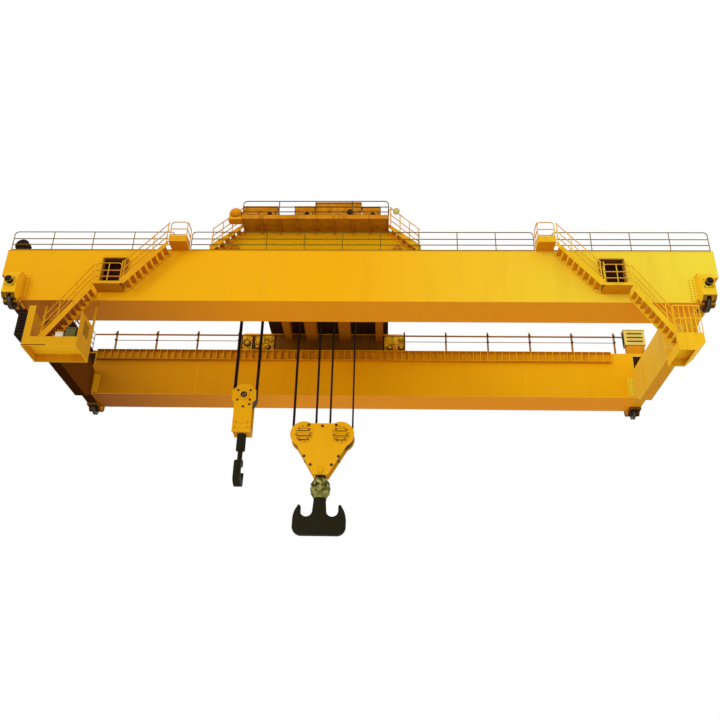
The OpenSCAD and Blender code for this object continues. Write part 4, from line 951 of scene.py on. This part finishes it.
bars, shadows, studs = begin_block("main_block")
for out in SIDES:
    for sheave in ("left_main_sheave", "right_main_sheave"):
        pin = Face(pins[sheave].x, out * CHEEK_FACE, pins[sheave].z, out)
        pin.turned(bars, 0, 0, 0,
            [(0.45, 0), (0.45, 0.018), (0.438, 0.03), (0.345, 0.03), (0.33, 0.02), (0.33, 0)], 40)
        pin.bolt_ring(studs, 0, 0.03, 0.39, 12, 0.05, 0.025, 0.13)
        for rise, half, tall in KEEPERS:
            # A black plate, a little larger than the keeper bar, behind it: painted shadow round the bar.
            pin.plate(shadows, 0, rise, 2 * half + 0.024, tall + 0.056, (BOSS, BOSS + 0.012))
            pin.plate(bars, 0, rise, 2 * half, tall, (BOSS + 0.006, BOSS + 0.05), 0.012)
            pin.bolts(studs, (0.05 - half, half - 0.05), (rise,), BOSS + 0.05, 0.05, 0.03)
    cheek = Face(main_middle.x, out * CHEEK_FACE, main_middle.z, out)
    washers(cheek, shadows, studs, MAIN_BOLTS, 0.07, 0.012, 20, 0.085, 0.05)
    cheek.turned(bars, 0, CROSSHEAD, 0, [(0.17, 0), (0.17, 0.035), (0.155, 0.05), (0.06, 0.05), (0, 0.062)])
    cheek.bolt_ring(studs, CROSSHEAD, 0.05, 0.115, 6, 0.036, 0.02)
    add_rod(studs, cheek.at(out * 0.8, -1.12), cheek.at(out * 0.8, -1.12, -2 * CHEEK_FACE), 0.045)
close_all()

# %% [markdown]
# Above the horns, the hook turns on a thrust bearing inside a bell, a casting with hoops round it, in
# a green paint that oil has blotched. Rings could be slipped over a plain barrel, but one turned
# outline leaves no gaps: the barrel's curve, stepped outwards at each hoop.

# %% Swivel bell
BELL_MIDDLE, BELL_R, BELL_STRETCH = -0.595, 0.465, 1.3
bell, studs = begin("main_hook", hook_swivel_bell="olive_paint", hook_swivel_studs="forged_black")
outline = [(0.2, -0.52)]
for k in range(-26, 27):
    angle = math.radians(k * 2)
    hoop = 0.016 if k % 13 in (0, 1, 12) else 0.0
    outline.append((BELL_R * math.cos(angle) + hoop, BELL_R * BELL_STRETCH * math.sin(angle)))
centre = pins["main_hook"] + UP * BELL_MIDDLE
add_turned(bell, centre, UP, outline + [(0.2, 0.52)], 48)
for angle in row(math.tau / 16, math.tau / 8, 8):
    out = Vector((math.cos(angle), math.sin(angle), 0))
    for height in (-0.16, 0.16):
        add_bolt(studs, centre + out * BELL_R * 0.955 + UP * height, out, 0.07, 0.035)
add_turned(studs, pins["main_hook"] - UP * 1.12, UP,
    [(0.27, -0.05), (0.3, -0.05), (0.3, 0.05), (0.27, 0.05)], 40)
close_all()

# %% [markdown]
# The auxiliary block is narrower, with one sheave. Its pin ends in a nut over a dark washer, with
# four bolts set square round it, and two keeper bars cross each cheek plate lower down. It takes the
# same kinds of piece as the main block, so only their places are new.

# %% Auxiliary block
AUX_BOLTS = ((-0.31, 0.26), (0.31, 0.26), (-0.31, -0.26), (0.31, -0.26), (0, -0.62), (0.3, -0.5))
aux_middle = pins["aux_sheave"]
aux_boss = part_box("aux_block")[1][1] - CHEEK_FACE
bars, shadows, studs = begin_block("aux_block")
for out in SIDES:
    cheek = Face(aux_middle.x, out * CHEEK_FACE, aux_middle.z, out)
    cheek.turned(shadows, 0, 0, aux_boss, [(0.16, 0), (0.16, 0.02), (0.1, 0.02), (0.1, 0)], 28)
    cheek.bolts(studs, (0,), (0,), aux_boss, 0.15, 0.06)
    washers(cheek, shadows, studs, AUX_BOLTS, 0.06, 0.01, 16, 0.08, 0.045)
    for rise in (-1.45, -1.72):
        cheek.plate(bars, 0, rise, 0.72, 0.1, (0, 0.03), 0.008)
        cheek.bolts(studs, (-0.3, 0.3), (rise,), 0.03, 0.045, 0.025)
close_all()

# %% [markdown]
# The rear girder carries a shelf of ribs along its whole length, and between the ribs, where the ribs shade the
# plate, it is painted a deeper orange, as painted shade. A thin sheet in front of the web gives the recesses their
# own colour without touching the girder. Above it, on posts, runs the line that brings current to the trolley.
# Each post holds it off with two ribbed insulators, which are one turned outline, and stands on a small foot with
# two bolts.

# %% Bracket band and supply line
RIB_PITCH = 0.4
LINE_POSTS, POST_W, LINE_Y, LINE_DROP = 13, 0.1, 5.78, 0.42
RIBBED = ((0.03, 0), (0.055, 0.01), (0.03, 0.03), (0.055, 0.04), (0.03, 0.06), (0.05, 0.07),
    (0.02, 0.09), (0, 0.09))
sheets, studs, insulators, brackets = begin("bridge", band_recesses="recess_brown", band_bolts="bolt_steel",
    line_insulators="black_paint", line_brackets="guard_brown")
low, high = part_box("rear_rib_band")
add_box(sheets, (low[0] + 0.02, high[1] - 0.012, low[2] + 0.03),
    (high[0] - 0.02, high[1] - 0.001, high[2] - 0.03))
ribs_at = row(low[0] + RIB_PITCH / 2, RIB_PITCH, int((high[0] - low[0]) / RIB_PITCH))
add_bolts(studs, ribs_at, (low[1] + 0.06,), (low[2],), -UP, 0.035, 0.02)
first = GIRDER_FOOT + 0.2
line_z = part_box("rear_supply_line")[1][2] - 0.25
for x in row(first + POST_W / 2, (SPAN - 2 * first - POST_W) / (LINE_POSTS - 1), LINE_POSTS):
    for drop in (0.0, LINE_DROP):
        add_turned(insulators, (x, LINE_Y - 0.04, line_z - drop), (0, -1, 0), RIBBED, 12)
    add_box(brackets, (x - 0.09, LINE_Y + 0.03, GIRDER_TOP + 0.001),
        (x + 0.09, LINE_Y + 0.15, GIRDER_TOP + 0.02))
    add_bolts(brackets, (x - 0.07, x + 0.07), (LINE_Y + 0.09,), (GIRDER_TOP + 0.02,), UP, 0.03, 0.02)
add_box(brackets, (first, LINE_Y - 0.02, line_z - 0.44), (SPAN - first, LINE_Y + 0.01, line_z - 0.41))
close_all()

# %% [markdown]
# Along the trolley's front walkway stand the switch cabinets. Each has a hood that sheds dust, doors with a narrow
# gap round them, hinges, a handle and a block of louvres. A gap could be cut into the cabinet, but a thin black
# rim on its front shows the same, as painted shadow in the gap. The louvres are only black slats, painted shade of
# the openings between them, because nobody looks through them from the floor.

# %% Switch cabinets
TROLLEY_X = (pins["front_left_trolley_wheel"].x + pins["front_right_trolley_wheel"].x) / 2
DECK_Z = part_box("trolley_deck")[1][2]
DOOR_GAP, SLATS, SLAT_PITCH = 0.008, 6, 0.035
cabinet_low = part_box("control_cabinet")[0]
# The limits of each cabinet along X, from the trolley's middle, then its depth and height.
CABINETS = ((cabinet_low[0] - TROLLEY_X, -1.8, 0.6, 0.6), (-1.0, -0.06, 0.6, 0.6), (0.0, 2.1, 0.7, 0.83),
    (2.15, 3.0, 0.6, 0.58))
hoods, gaps, fittings = begin("trolley", cabinet_hoods="machine_orange",
    cabinet_gaps_and_louvres="black_paint", cabinet_hinges_and_handles="bolt_steel")
for left, right, deep, tall in CABINETS:
    front, wide = Face(TROLLEY_X + left, cabinet_low[1], DECK_Z, -1), right - left
    front.box(hoods, (0.02, wide - 0.02), (tall - 0.01, tall + 0.17), (-0.05, 0.02 - deep), 0.01)
    front.box(hoods, (-0.02, wide + 0.02), (tall + 0.16, tall + 0.19), (0.015, -0.02 - deep), 0.006)
    leaves = max(1, round(wide / 0.75))
    for k in range(leaves):
        a, b = k * wide / leaves + 0.04, (k + 1) * wide / leaves - 0.04
        front.rim(gaps, (a, b), (0.08, tall - 0.022), DOOR_GAP, (-0.001, 0.004))
        for z in (0.16, tall - 0.14):
            hinge = (front.at(a - 0.012, up, 0.012) for up in (z, z + 0.07))
            add_rod(fittings, *hinge, 0.012, sides=8)
        front.box(fittings, (b - 0.07, b - 0.045), (tall * 0.5, tall * 0.5 + 0.13), (0, 0.03), 0.004)
        for z in row(0.14, SLAT_PITCH, SLATS):
            front.box(gaps, (a + 0.12, b - 0.16), (z, z + 0.014), (0, 0.006))
    dial = (wide - tall * 0.6, tall * 0.55)
    add_rod(gaps, front.at(*dial, -0.06), front.at(*dial, -0.07), tall * 0.19, sides=20)
close_all()

# %% [markdown]
# A gear case is split along its shafts, so it has a flange all round with bolts, and round covers
# over the shafts' ends. A motor has cooling fins, a fan cowl and a terminal box. The cases themselves
# are packed, and these fittings are what tells them from plain boxes. The fins are one flat bar,
# stamped round the barrel except underneath, where the motor's foot is.

# %% Main gear case and motor
CASE_D, MOTOR_L, MOTOR_R, FINS = 0.64, 0.9, 0.3, 28
left_axis, right_axis = pins["left_main_drum"], pins["right_main_drum"]
CASE_HALF = (right_axis.x - left_axis.x) / 2 + 0.5
split, motor_z = left_axis.z, left_axis.z - 0.2
case = Face((left_axis.x + right_axis.x) / 2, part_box("left_main_drum")[1][1] + 0.03, 0, 1)
case_back = case.middle.y + CASE_D
flanges, fins, studs = begin("trolley", main_drive_flanges="machine_orange",
    main_motor_fins="machine_orange", main_drive_bolts="bolt_steel")
for up in ((split - 0.03, split + 0.03), (DECK_Z + 0.002, DECK_Z + 0.05)):
    case.box(flanges, (-CASE_HALF - 0.05, CASE_HALF + 0.05), up, (-0.03, CASE_D + 0.03), 0.006)
add_bolts(studs, row(case.middle.x - CASE_HALF + 0.1, (2 * CASE_HALF - 0.2) / 15, 16),
    (case.middle.y - 0.012, case_back + 0.012), (split + 0.03,), UP, 0.04, 0.03)
for axis in (left_axis, right_axis):
    cover = Face(axis.x, case_back, axis.z, 1)
    cover.turned(flanges, 0, 0, 0, [(0.26, 0), (0.26, 0.03), (0.2, 0.05), (0.06, 0.06), (0, 0.06)])
    cover.bolt_ring(studs, 0, 0.035, 0.225, 10, 0.036, 0.02)
for s in SIDES:
    case.plate(flanges, s * CASE_HALF * 0.6, DECK_Z + 1.435, 0.06, 0.07, (0.2, 0.4), 0.01)
for angle in row(0, math.tau / FINS, FINS):
    if math.sin(angle) > -0.75:
        add_box(fins, (MOTOR_R - 0.005, case_back + 0.14, -0.006),
            (MOTOR_R + 0.035, case_back + MOTOR_L - 0.2, 0.006),
            matrix=Matrix.Translation((case.middle.x, 0, motor_z)) @ Matrix.Rotation(-angle, 4, "Y"))
motor = Face(case.middle.x, case_back, motor_z, 1)
motor.turned(flanges, 0, 0, 0, [(MOTOR_R, 0), (0.38, 0), (0.38, 0.04), (MOTOR_R, 0.04)])
motor.bolt_ring(studs, 0, 0.04, 0.345, 12, 0.036, 0.02)
motor.turned(flanges, 0, 0, MOTOR_L - 0.18,
    [(MOTOR_R, 0), (0.335, 0.01), (0.335, 0.15), (0.3, 0.175), (0.24, 0.178)])
motor.box(flanges, (-0.14, 0.14), (MOTOR_R - 0.02, MOTOR_R + 0.14), (0.3, 0.58), 0.015)
close_all()

# %% [markdown]
# Drums turn in bearings on pedestals, and each bearing has a cap that two studs clamp. The drum's own
# end plates are bolted on. Those bolts turn with the drum, so they are pieces on the drum's body,
# while the caps stay on the trolley's.

# %% Drum bearings and end plates
BEARING_AWAY, BEARING_HALF = 0.115, 0.07
BEARING_W = {"left_main_drum": 0.21, "right_main_drum": 0.21, "aux_drum": 0.165}
end_bolts = [begin(drum, **{drum + "_end_bolts": "bolt_steel drum_steel"})[0] for drum in BEARING_W]
caps, studs = begin("trolley", drum_bearing_caps="machine_orange", drum_bearing_studs="bolt_steel")
for (drum, wide), ends in zip(BEARING_W.items(), end_bolts):
    axis, (low, high) = pins[drum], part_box(drum)
    for limit, out in ((low[1], -1), (high[1], 1)):
        end = Face(axis.x, limit - out * 0.2, axis.z, out)
        end.box(caps, (-wide * 0.9, wide * 0.9), (0.09, 0.15),
            (BEARING_AWAY - BEARING_HALF, BEARING_AWAY + BEARING_HALF), 0.01)
        for s in SIDES:
            add_bolt(studs, end.at(s * wide * 0.7, 0.15, BEARING_AWAY), UP, 0.05, 0.045)
        end.bolt_ring(ends, 0, 0, (high[2] - low[2]) * 0.41, 16, 0.05, 0.02)
        end.turned(ends, 0, 0, 0, [(0.2, 0), (0.2, 0.018), (0.13, 0.02), (0.12, 0)])
close_all()

# %% [markdown]
# The trolley's side frames are box sections. They get the same low bead as the girders, and a row of
# bolted inspection covers on each side. A cover lies on the frame as a thin plate, so the frame needs
# no opening cut into it.

# %% Side frames
COVER_Z, COVER_T = 4.15, 0.012
covers, studs = begin("trolley", side_frame_covers="frame_yellow", side_frame_bolts="bolt_steel")
for place in ("front", "rear"):
    low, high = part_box(place + "_side_frame")
    for y, out in ((low[1], -1), (high[1], 1)):
        wall = Face(0, y, 0, out)
        wall.box(covers, (low[0] + 0.55, high[0] - 0.55), (DECK_Z - 0.09, DECK_Z - 0.06), (0, COVER_T))
        for x in (TROLLEY_X + aside for aside in (-2.2, -0.75, 0.75, 2.2)):
            wall.plate(covers, x, COVER_Z, 0.56, 0.4, (0, COVER_T), 0.004)
            wall.bolts(studs, row(x - 0.23, 0.23, 3), (COVER_Z - 0.15, COVER_Z + 0.15), COVER_T, 0.03, 0.015)
    wheel = pins[place + "_left_trolley_wheel"]
    for x, out in ((low[0], -1), (high[0], 1)):
        add_bolt_ring(studs, (x - out * 0.002, wheel.y, wheel.z + 0.28), (out, 0, 0), 0.06, 4, 0.03, 0.002)
close_all()

# %% [markdown]
# A travelling crane meets its end stops with rubber. Each wheel box has a buffer: a black ribbed
# cylinder, on a plate with four bolts. The ribs are radii that alternate along a turned outline,
# which costs less than a ring for each. A row of bolts runs along both sides of the box.

# %% Buffers of the wheel boxes
BUFFER_Z, BUFFER_OUT, RIB = 1.0, 0.238, 0.02
BOX_BOLTS_Y, BOX_BOLTS_Z = 5.4, 1.62
RUBBER = [(0.15 if k % 2 else 0.134, k * RIB) for k in range(7)] + [(0.134, 0.155), (0.1, 0.155)]
rubbers, covers, studs = begin("bridge", crane_buffers="black_paint", buffer_plates="box_yellow",
    wheel_box_bolts="bolt_steel")
for corner in CORNERS:
    low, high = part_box(corner + "_wheel_box")
    end, out = (high[1], 1) if corner.startswith("rear") else (low[1], -1)
    buffer = Face((low[0] + high[0]) / 2, end - out * BUFFER_OUT, BUFFER_Z, out)
    buffer.turned(rubbers, 0, 0, 0.02, RUBBER)
    buffer.turned(rubbers, 0, 0, BUFFER_OUT - 0.062,
        [(0.12, 0), (0.172, 0.0), (0.176, 0.03), (0.16, 0.064), (0, 0.064)])
    buffer.plate(covers, 0, 0, 0.44, 0.44, (0, 0.02), 0.004)
    buffer.bolts(studs, (-0.18, 0.18), (-0.18, 0.18), 0.02, 0.04, 0.025)
    for x, s in ((low[0], -1), (high[0], 1)):
        add_bolts(studs, (x,), row(out * BOX_BOLTS_Y, out * 0.22, 5), (BOX_BOLTS_Z,), (s, 0, 0), 0.036, 0.018)
close_all()

# %% [markdown]
# The trolley's cable is paid out from a reel at the left end. The cable lies in turns between the
# reel's flanges, as rope does on a drum, so the same screw is used again. The flanges get spokes and
# a hub.

# %% Cable on the reel
REEL_R, REEL_HALF, SPOKES = 0.33, 0.151, 6
low, high = (Vector(corner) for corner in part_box("cable_reel"))
centre = Vector(((low.x + high.x) / 2, (low.y + high.y) / 2, high.z - REEL_R))
cable, spokes = begin("bridge", reel_cable="black_paint", reel_spokes="bolt_steel")
add_coil(cable, centre, REEL_R * 0.8, -0.115, 0.036, 6, 0.017)
for out in SIDES:
    flange = Face(centre.x, centre.y + out * REEL_HALF, centre.z, out)
    for angle in row(0, math.tau / SPOKES, SPOKES):
        spoke = (flange.at(math.cos(angle) * r, math.sin(angle) * r) for r in (0.05, 0.3))
        add_rod(spokes, *spoke, 0.012, sides=8)
    flange.turned(spokes, 0, 0, 0, [(0.09, 0), (0.09, 0.02), (0.05, 0.026), (0, 0.026)], 20)
close_all()

# %% [markdown]
# People walk on the girders and on the trolley, so their tops are covered with chequer plate. It is
# rolled with small raised lozenges that a shoe can grip. Thousands of modelled lozenges would cost
# far more than they show. Two crossed waves, multiplied, raise the same pattern in the paint's bump,
# and shoes have worn the paint off wherever it stands up.

# %% Chequer plate
LOZENGE = 0.11


def chequer(name, colour, worn):
    material = paint(name, f"{colour} {colour} 5A3A0E 4A2E0C 3E260C {worn}", roughness=0.6, streak=0.6,
        waves=0.004, scale=3.0, fade=0.4)
    tree = material.node_tree
    shader = tree.nodes["Principled BSDF"].inputs
    place = node(tree, "ShaderNodeSeparateXYZ", {"Vector": object_place(tree)}).outputs
    waves = []
    for operation in ("ADD", "SUBTRACT"):
        slanted = maths(tree, operation, place["X"], place["Y"])
        waves.append(maths(tree, "SINE", maths(tree, "MULTIPLY", slanted, math.pi / LOZENGE)))
    raised = ramp(tree, maths(tree, "MULTIPLY", *waves), 0.3, 0.7)
    coat, coat_normal = (shader[title].links[0].from_socket for title in ("Base Color", "Normal"))
    bare = maths(tree, "MULTIPLY", raised, 0.45)
    tree.links.new(layer(tree, bare, coat, screen(worn)), shader["Base Color"])
    tree.links.new(raised_normal(tree, raised, 0.003, Normal=coat_normal), shader["Normal"])
    return material


for name, colour, worn, slot in (("girder_tread", "B87C16", "D8B060", "yellow_paint"),
        ("deck_tread", "94601A", "B89058", "orange_paint")):
    finishes[name], usual_slot[name] = chequer(name, colour, worn), slot
print("lozenges", LOZENGE, "m apart")

# %% [markdown]
# The plate is laid in sheets with narrow gaps between them: beside the rails on the girders, and in
# front of and behind the hoists on the deck. The pattern is in the paint, so each sheet is one thin
# box.

# %% Sheets of it on the girders and the trolley
SHEET_GAP = 0.01
RAIL_Y, RAIL_HALF = pins["rear_left_trolley_wheel"].y, 0.17
TOP_NEAR, TOP_FAR = 4.14, 5.72
HOIST_FROM, HOIST_TO = -2.05, 3.6


def lay_sheets(shape, low, high, z, columns, rows):
    """Thin sheets between two corners, with gaps between them."""
    wide, deep = (high[0] - low[0]) / columns, (high[1] - low[1]) / rows
    for x, y in itertools.product(row(low[0], wide, columns), row(low[1], deep, rows)):
        add_box(shape, (x, y, z + 0.001), (x + wide - SHEET_GAP, y + deep - SHEET_GAP, z + 0.008))


treads, = begin("bridge", girder_tread_plates="girder_tread")
deck_treads, = begin("trolley", deck_tread_plates="deck_tread")
for near, far in ((TOP_NEAR, RAIL_Y - RAIL_HALF), (RAIL_Y + RAIL_HALF, TOP_FAR)):
    for y0, y1 in ((near, far), (-far, -near)):
        lay_sheets(treads, (girder_low[0] + 0.05, y0), (girder_high[0] - 0.05, y1), GIRDER_TOP, 16, 1)
deck_low, deck_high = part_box("trolley_deck")
sheets_from, sheets_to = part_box("trolley_walkway")[0][0] + 0.1, deck_high[0] - 0.1
lay_sheets(deck_treads, (sheets_from, deck_low[1] + 0.1), (sheets_to, HOIST_FROM), DECK_Z, 5, 2)
lay_sheets(deck_treads, (sheets_from, HOIST_TO), (sheets_to, deck_high[1] - 0.1), DECK_Z, 5, 1)
close_all()

# %% [markdown]
# On the inner side of the rear frame, the long middle between the wheels lies in the shade of the deck, and a dark
# sheet paints that shade there. Round each wheel, and at the left end, stands a shallow cast housing with round
# bosses and a dark joint behind it. The joint could be a groove, but a slightly larger black block behind the
# housing shows as one from every side, as the groove's painted shadow.

# %% Inner side of the rear frame
sheets, joints, housings, studs = begin("trolley", rear_frame_middle="dark_underframe",
    rear_housing_joints="black_paint", rear_wheel_housings="housing_yellow", rear_housing_bolts="bolt_steel")
JOINT_TOP, HOUSING_TOP, END_BOSS_Z = 4.53, 4.46, 3.95
frame_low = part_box("rear_side_frame")[0]
FOOT = frame_low[2]
inner = Face(0, frame_low[1], 0, -1)


def housing(start, end):
    # A black block a little larger than the housing: painted shadow of the joint.
    inner.box(joints, (start - 0.07, end + 0.07), (FOOT + 0.005, JOINT_TOP), (0.001, 0.03), 0.01)
    inner.box(housings, (start, end), (FOOT + 0.09, HOUSING_TOP), (0.02, 0.07), 0.02)


def boss(x, z, seat, seat_round, high, top, foot, steps):
    """A dark seat, which is painted shadow round the boss, and a paler boss on it, which narrows from its foot to
    its top.
    """
    inner.turned(joints, x, z, 0.02,
        ((0, 0.07), (seat, 0.07), (seat + 0.02, 0.05), (seat + 0.02, 0), (0, 0)), steps)
    inner.turned(housings, x, z, 0.06, ((0, high), (top, high), (foot, seat_round), (foot, 0), (0, 0)), steps)


# A dark sheet over the frame's middle: painted shade under the deck.
inner.box(sheets, (TROLLEY_X - 3.2, TROLLEY_X + 3.2), (FOOT + 0.1, DECK_Z - 0.1), (0.001, 0.014))
for name, reach in (("rear_left_trolley_wheel", -1), ("rear_right_trolley_wheel", 1)):
    x, z = pins[name].x, pins[name].z
    a, b = sorted((x - reach * 0.62, x + reach * 0.5))
    housing(a, b)
    inner.box(housings, (x - 0.3, x + 0.3), (z + 0.28, z + 0.66), (0.06, 0.11), 0.03)
    for aside in (-0.3, 0.34):
        boss(x + reach * aside, z + 0.06, 0.15, 0.04, 0.09, 0.06, 0.11, 20)
    inner.bolts(studs, (a + 0.05, b - 0.05), row(FOOT + 0.17, 0.21, 5), 0.07, 0.045, 0.025)
a, b = frame_low[0] + 0.13, pins["rear_left_trolley_wheel"].x - 0.66
housing(a, b)
boss((a + b) / 2, END_BOSS_Z, 0.2, 0.05, 0.12, 0.08, 0.15, 24)
close_all()

# %% [markdown]
# Beyond the left end of the trolley's walkway hangs the travel motor, under a domed cowl on a
# bracket. At the right end, over the stair, is a work lamp with a pale lens. A cowl and a lamp's bowl
# are both spun from sheet, so both are turned outlines, and the rest is bar.

# %% Travel motor and work lamp
LAMP_AXIS = (0.25, -0.5, -0.83)
cowl, bracket, studs, lens = begin("trolley", travel_motor_cowl="machine_orange",
    end_brackets="stair_yellow yellow_paint", cowl_bolts="bolt_steel", work_lamp_lens="lamp_lens")
walk_low, walk_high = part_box("trolley_walkway")
motor = Face(walk_low[0] - 0.34, walk_low[1] + 0.04, DECK_Z, 1)
motor.turned(cowl, 0, 0.33, 0, [(0, 0.0), (0.12, 0.012), (0.22, 0.05), (0.28, 0.11), (0.3, 0.18), (0.3, 0.36),
    (0.34, 0.36), (0.34, 0.4), (0.26, 0.42), (0, 0.42)], 40)
add_bolt_ring(studs, motor.at(0, 0.33, 0.36), (0, -1, 0), 0.32, 8, 0.03, 0.02)
motor.box(bracket, (-0.3, 0.34), (-0.09, 0.02), (0.02, 0.44), 0.01)
for front in (0.1, 0.3):
    motor.box(bracket, (-0.26, 0.26), (0.015, 0.2), (front, front + 0.06), 0.008)
arm = Vector((walk_high[0], walk_low[1] + 0.35, DECK_Z))
lamp = arm + Vector((0.32, 0, 0.62))
add_rod(bracket, arm + Vector((-0.02, 0, 0.05)), arm + Vector((0.02, 0, 0.7)), 0.02)
add_rod(bracket, arm + Vector((0.02, 0, 0.68)), lamp + UP * 0.05, 0.018)
add_turned(bracket, lamp, LAMP_AXIS,
    [(0, -0.12), (0.05, -0.12), (0.07, -0.05), (0.15, 0.06), (0.16, 0.1), (0.145, 0.1)])
add_turned(lens, lamp, LAMP_AXIS, [(0.146, 0.085), (0.13, 0.1), (0.07, 0.115), (0, 0.12)])
close_all()

# %% [markdown]
# Where the supply line ends, a switch cabinet stands on a pedestal, in a paler yellow than the crane's. Its front
# has louvres, one over the other. Each is a dark slit with a lip over it, which reads as a louvre from any
# distance and needs no opening; the slit's dark colour is painted shade.

# %% Switch cabinet of the supply line
CAB_W, CAB_D, CAB_FOOT, CAB_TOP = 1.16, 0.46, 0.62, 1.6
pedestal, cabinet, slits, feet = begin("bridge", supply_pedestal="machine_orange",
    supply_cabinet="cabinet_cream", supply_cabinet_louvres="black_paint", supply_cabinet_bolts="bolt_steel")
cab = Face(SPAN - 0.45, rear_low[1] + 0.1, GIRDER_TOP, -1)
cab.box(pedestal, (0.08, CAB_W - 0.08), (0.008, CAB_FOOT + 0.005), (-0.05, 0.05 - CAB_D), 0.03)
cab.box(cabinet, (0, CAB_W), (CAB_FOOT, CAB_TOP - 0.04), (0, -CAB_D), 0.015)
cab.box(cabinet, (-0.03, CAB_W + 0.03), (CAB_TOP - 0.05, CAB_TOP), (0.03, -CAB_D - 0.03), 0.012)
for z in row(CAB_FOOT + 0.2, 0.24, 3):
    cab.box(slits, (0.14, CAB_W - 0.14), (z, z + 0.07), (0.004, -0.002))
    cab.box(cabinet, (0.12, CAB_W - 0.12), (z + 0.06, z + 0.075), (0.035, -0.002))
cab.box(slits, (-0.004, 0.001), (CAB_FOOT + 0.06, CAB_TOP - 0.1), (-0.05, 0.05 - CAB_D))
for across in (0.1, CAB_W - 0.1):
    add_bolt(feet, cab.at(across, 0.01, -0.02), UP, 0.05, 0.03)
close_all()

# %% [markdown]
# Near each end, the girders' inner sides have an opening through which the end joint is reached. It is dark
# inside, so a dark sheet on the web stands for it as well as a real hole would; its dark colour is painted shade.
# A frame of flat bar with a few bolts goes round it.

# %% End openings of the girders
OPENING_LOW, OPENING_HIGH, BAR = 2.16, 2.92, 0.04
openings, surrounds, studs = begin("bridge", end_openings="passage_dark", end_opening_frames="crane_yellow",
    end_opening_bolts="bolt_steel")
for web in WEBS[1:3]:
    for joint, out in ((GIRDER_FOOT + 0.02, -1), (SPAN - GIRDER_FOOT - 0.02, 1)):
        a, b = sorted((joint + out * 0.14, joint + out * 0.74))
        web.box(openings, (a, b), (OPENING_LOW, OPENING_HIGH), (0, 0.004))
        web.rim(surrounds, (a - BAR, b + BAR), (OPENING_LOW - BAR, OPENING_HIGH + BAR), BAR, (0, 0.02),
            BAR, 0.004)
        web.bolts(studs, (a - 0.02, b + 0.02), row(OPENING_LOW + 0.06, 0.21, 4), 0.02, 0.028, 0.014)
close_all()

# %% [markdown]
# The left platform isn't empty. Under its stair stand a small control desk, with a slanted top and
# two levers, and a pale tool box. A dirty pane closes the barred window, and a joint runs along the
# foot of the front wall. They are boxes with softened edges and a few turned knobs, because they are
# only seen from far below.

# %% Desk, tool box and pane of the left platform
KNOB = ((0, -0.025), (0.018, -0.018), (0.025, 0), (0.018, 0.018), (0, 0.025))
desk, levers, tool_box, pane, foot_joint = begin("bridge", platform_desk="desk_green",
    platform_desk_levers="black_paint", platform_tool_box="tool_white yellow_paint",
    platform_window_pane="guard_brown rail_paint", platform_foot_joint="passage_dark")
step_low, step_high = (Vector(corner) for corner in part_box("left_boarding_platform"))
floor_z = step_low.z + 0.4
place = Face(step_high.x - 0.5, step_low.y + 0.55, floor_z, 1)
place.box(desk, (-0.22, 0.22), (0.001, 0.66), (-0.2, 0.2), 0.02)
slant = Matrix.Translation(place.at(0, 0.7)) @ Matrix.Rotation(math.radians(20), 4, "X")
add_box(desk, (-0.25, -0.22, -0.05), (0.25, 0.22, 0.05), 0.015, slant)
for x in (-0.12, 0.12):
    add_rod(levers, (x, 0, 0.04), (x, 0.03, 0.2), 0.01, matrix=slant)
    add_turned(levers, slant @ Vector((x, 0.03, 0.2)), UP, KNOB, 16)
place.box(tool_box, (-0.64, -0.3), (0.001, 0.4), (-0.2, 0.04), 0.015)
place.box(tool_box, (-0.65, -0.29), (0.405, 0.46), (-0.21, 0.05), 0.015)
middle = (step_low + step_high) / 2
add_box(pane, (step_high.x - 0.038, middle.y - 0.33, floor_z + 0.395),
    (step_high.x - 0.031, middle.y + 0.33, floor_z + 1.155))
add_box(foot_joint, step_low + Vector((0.03, -0.003, 0.02)), step_low + Vector((1.05, 0.001, 0.055)))
close_all()

# %% [markdown]
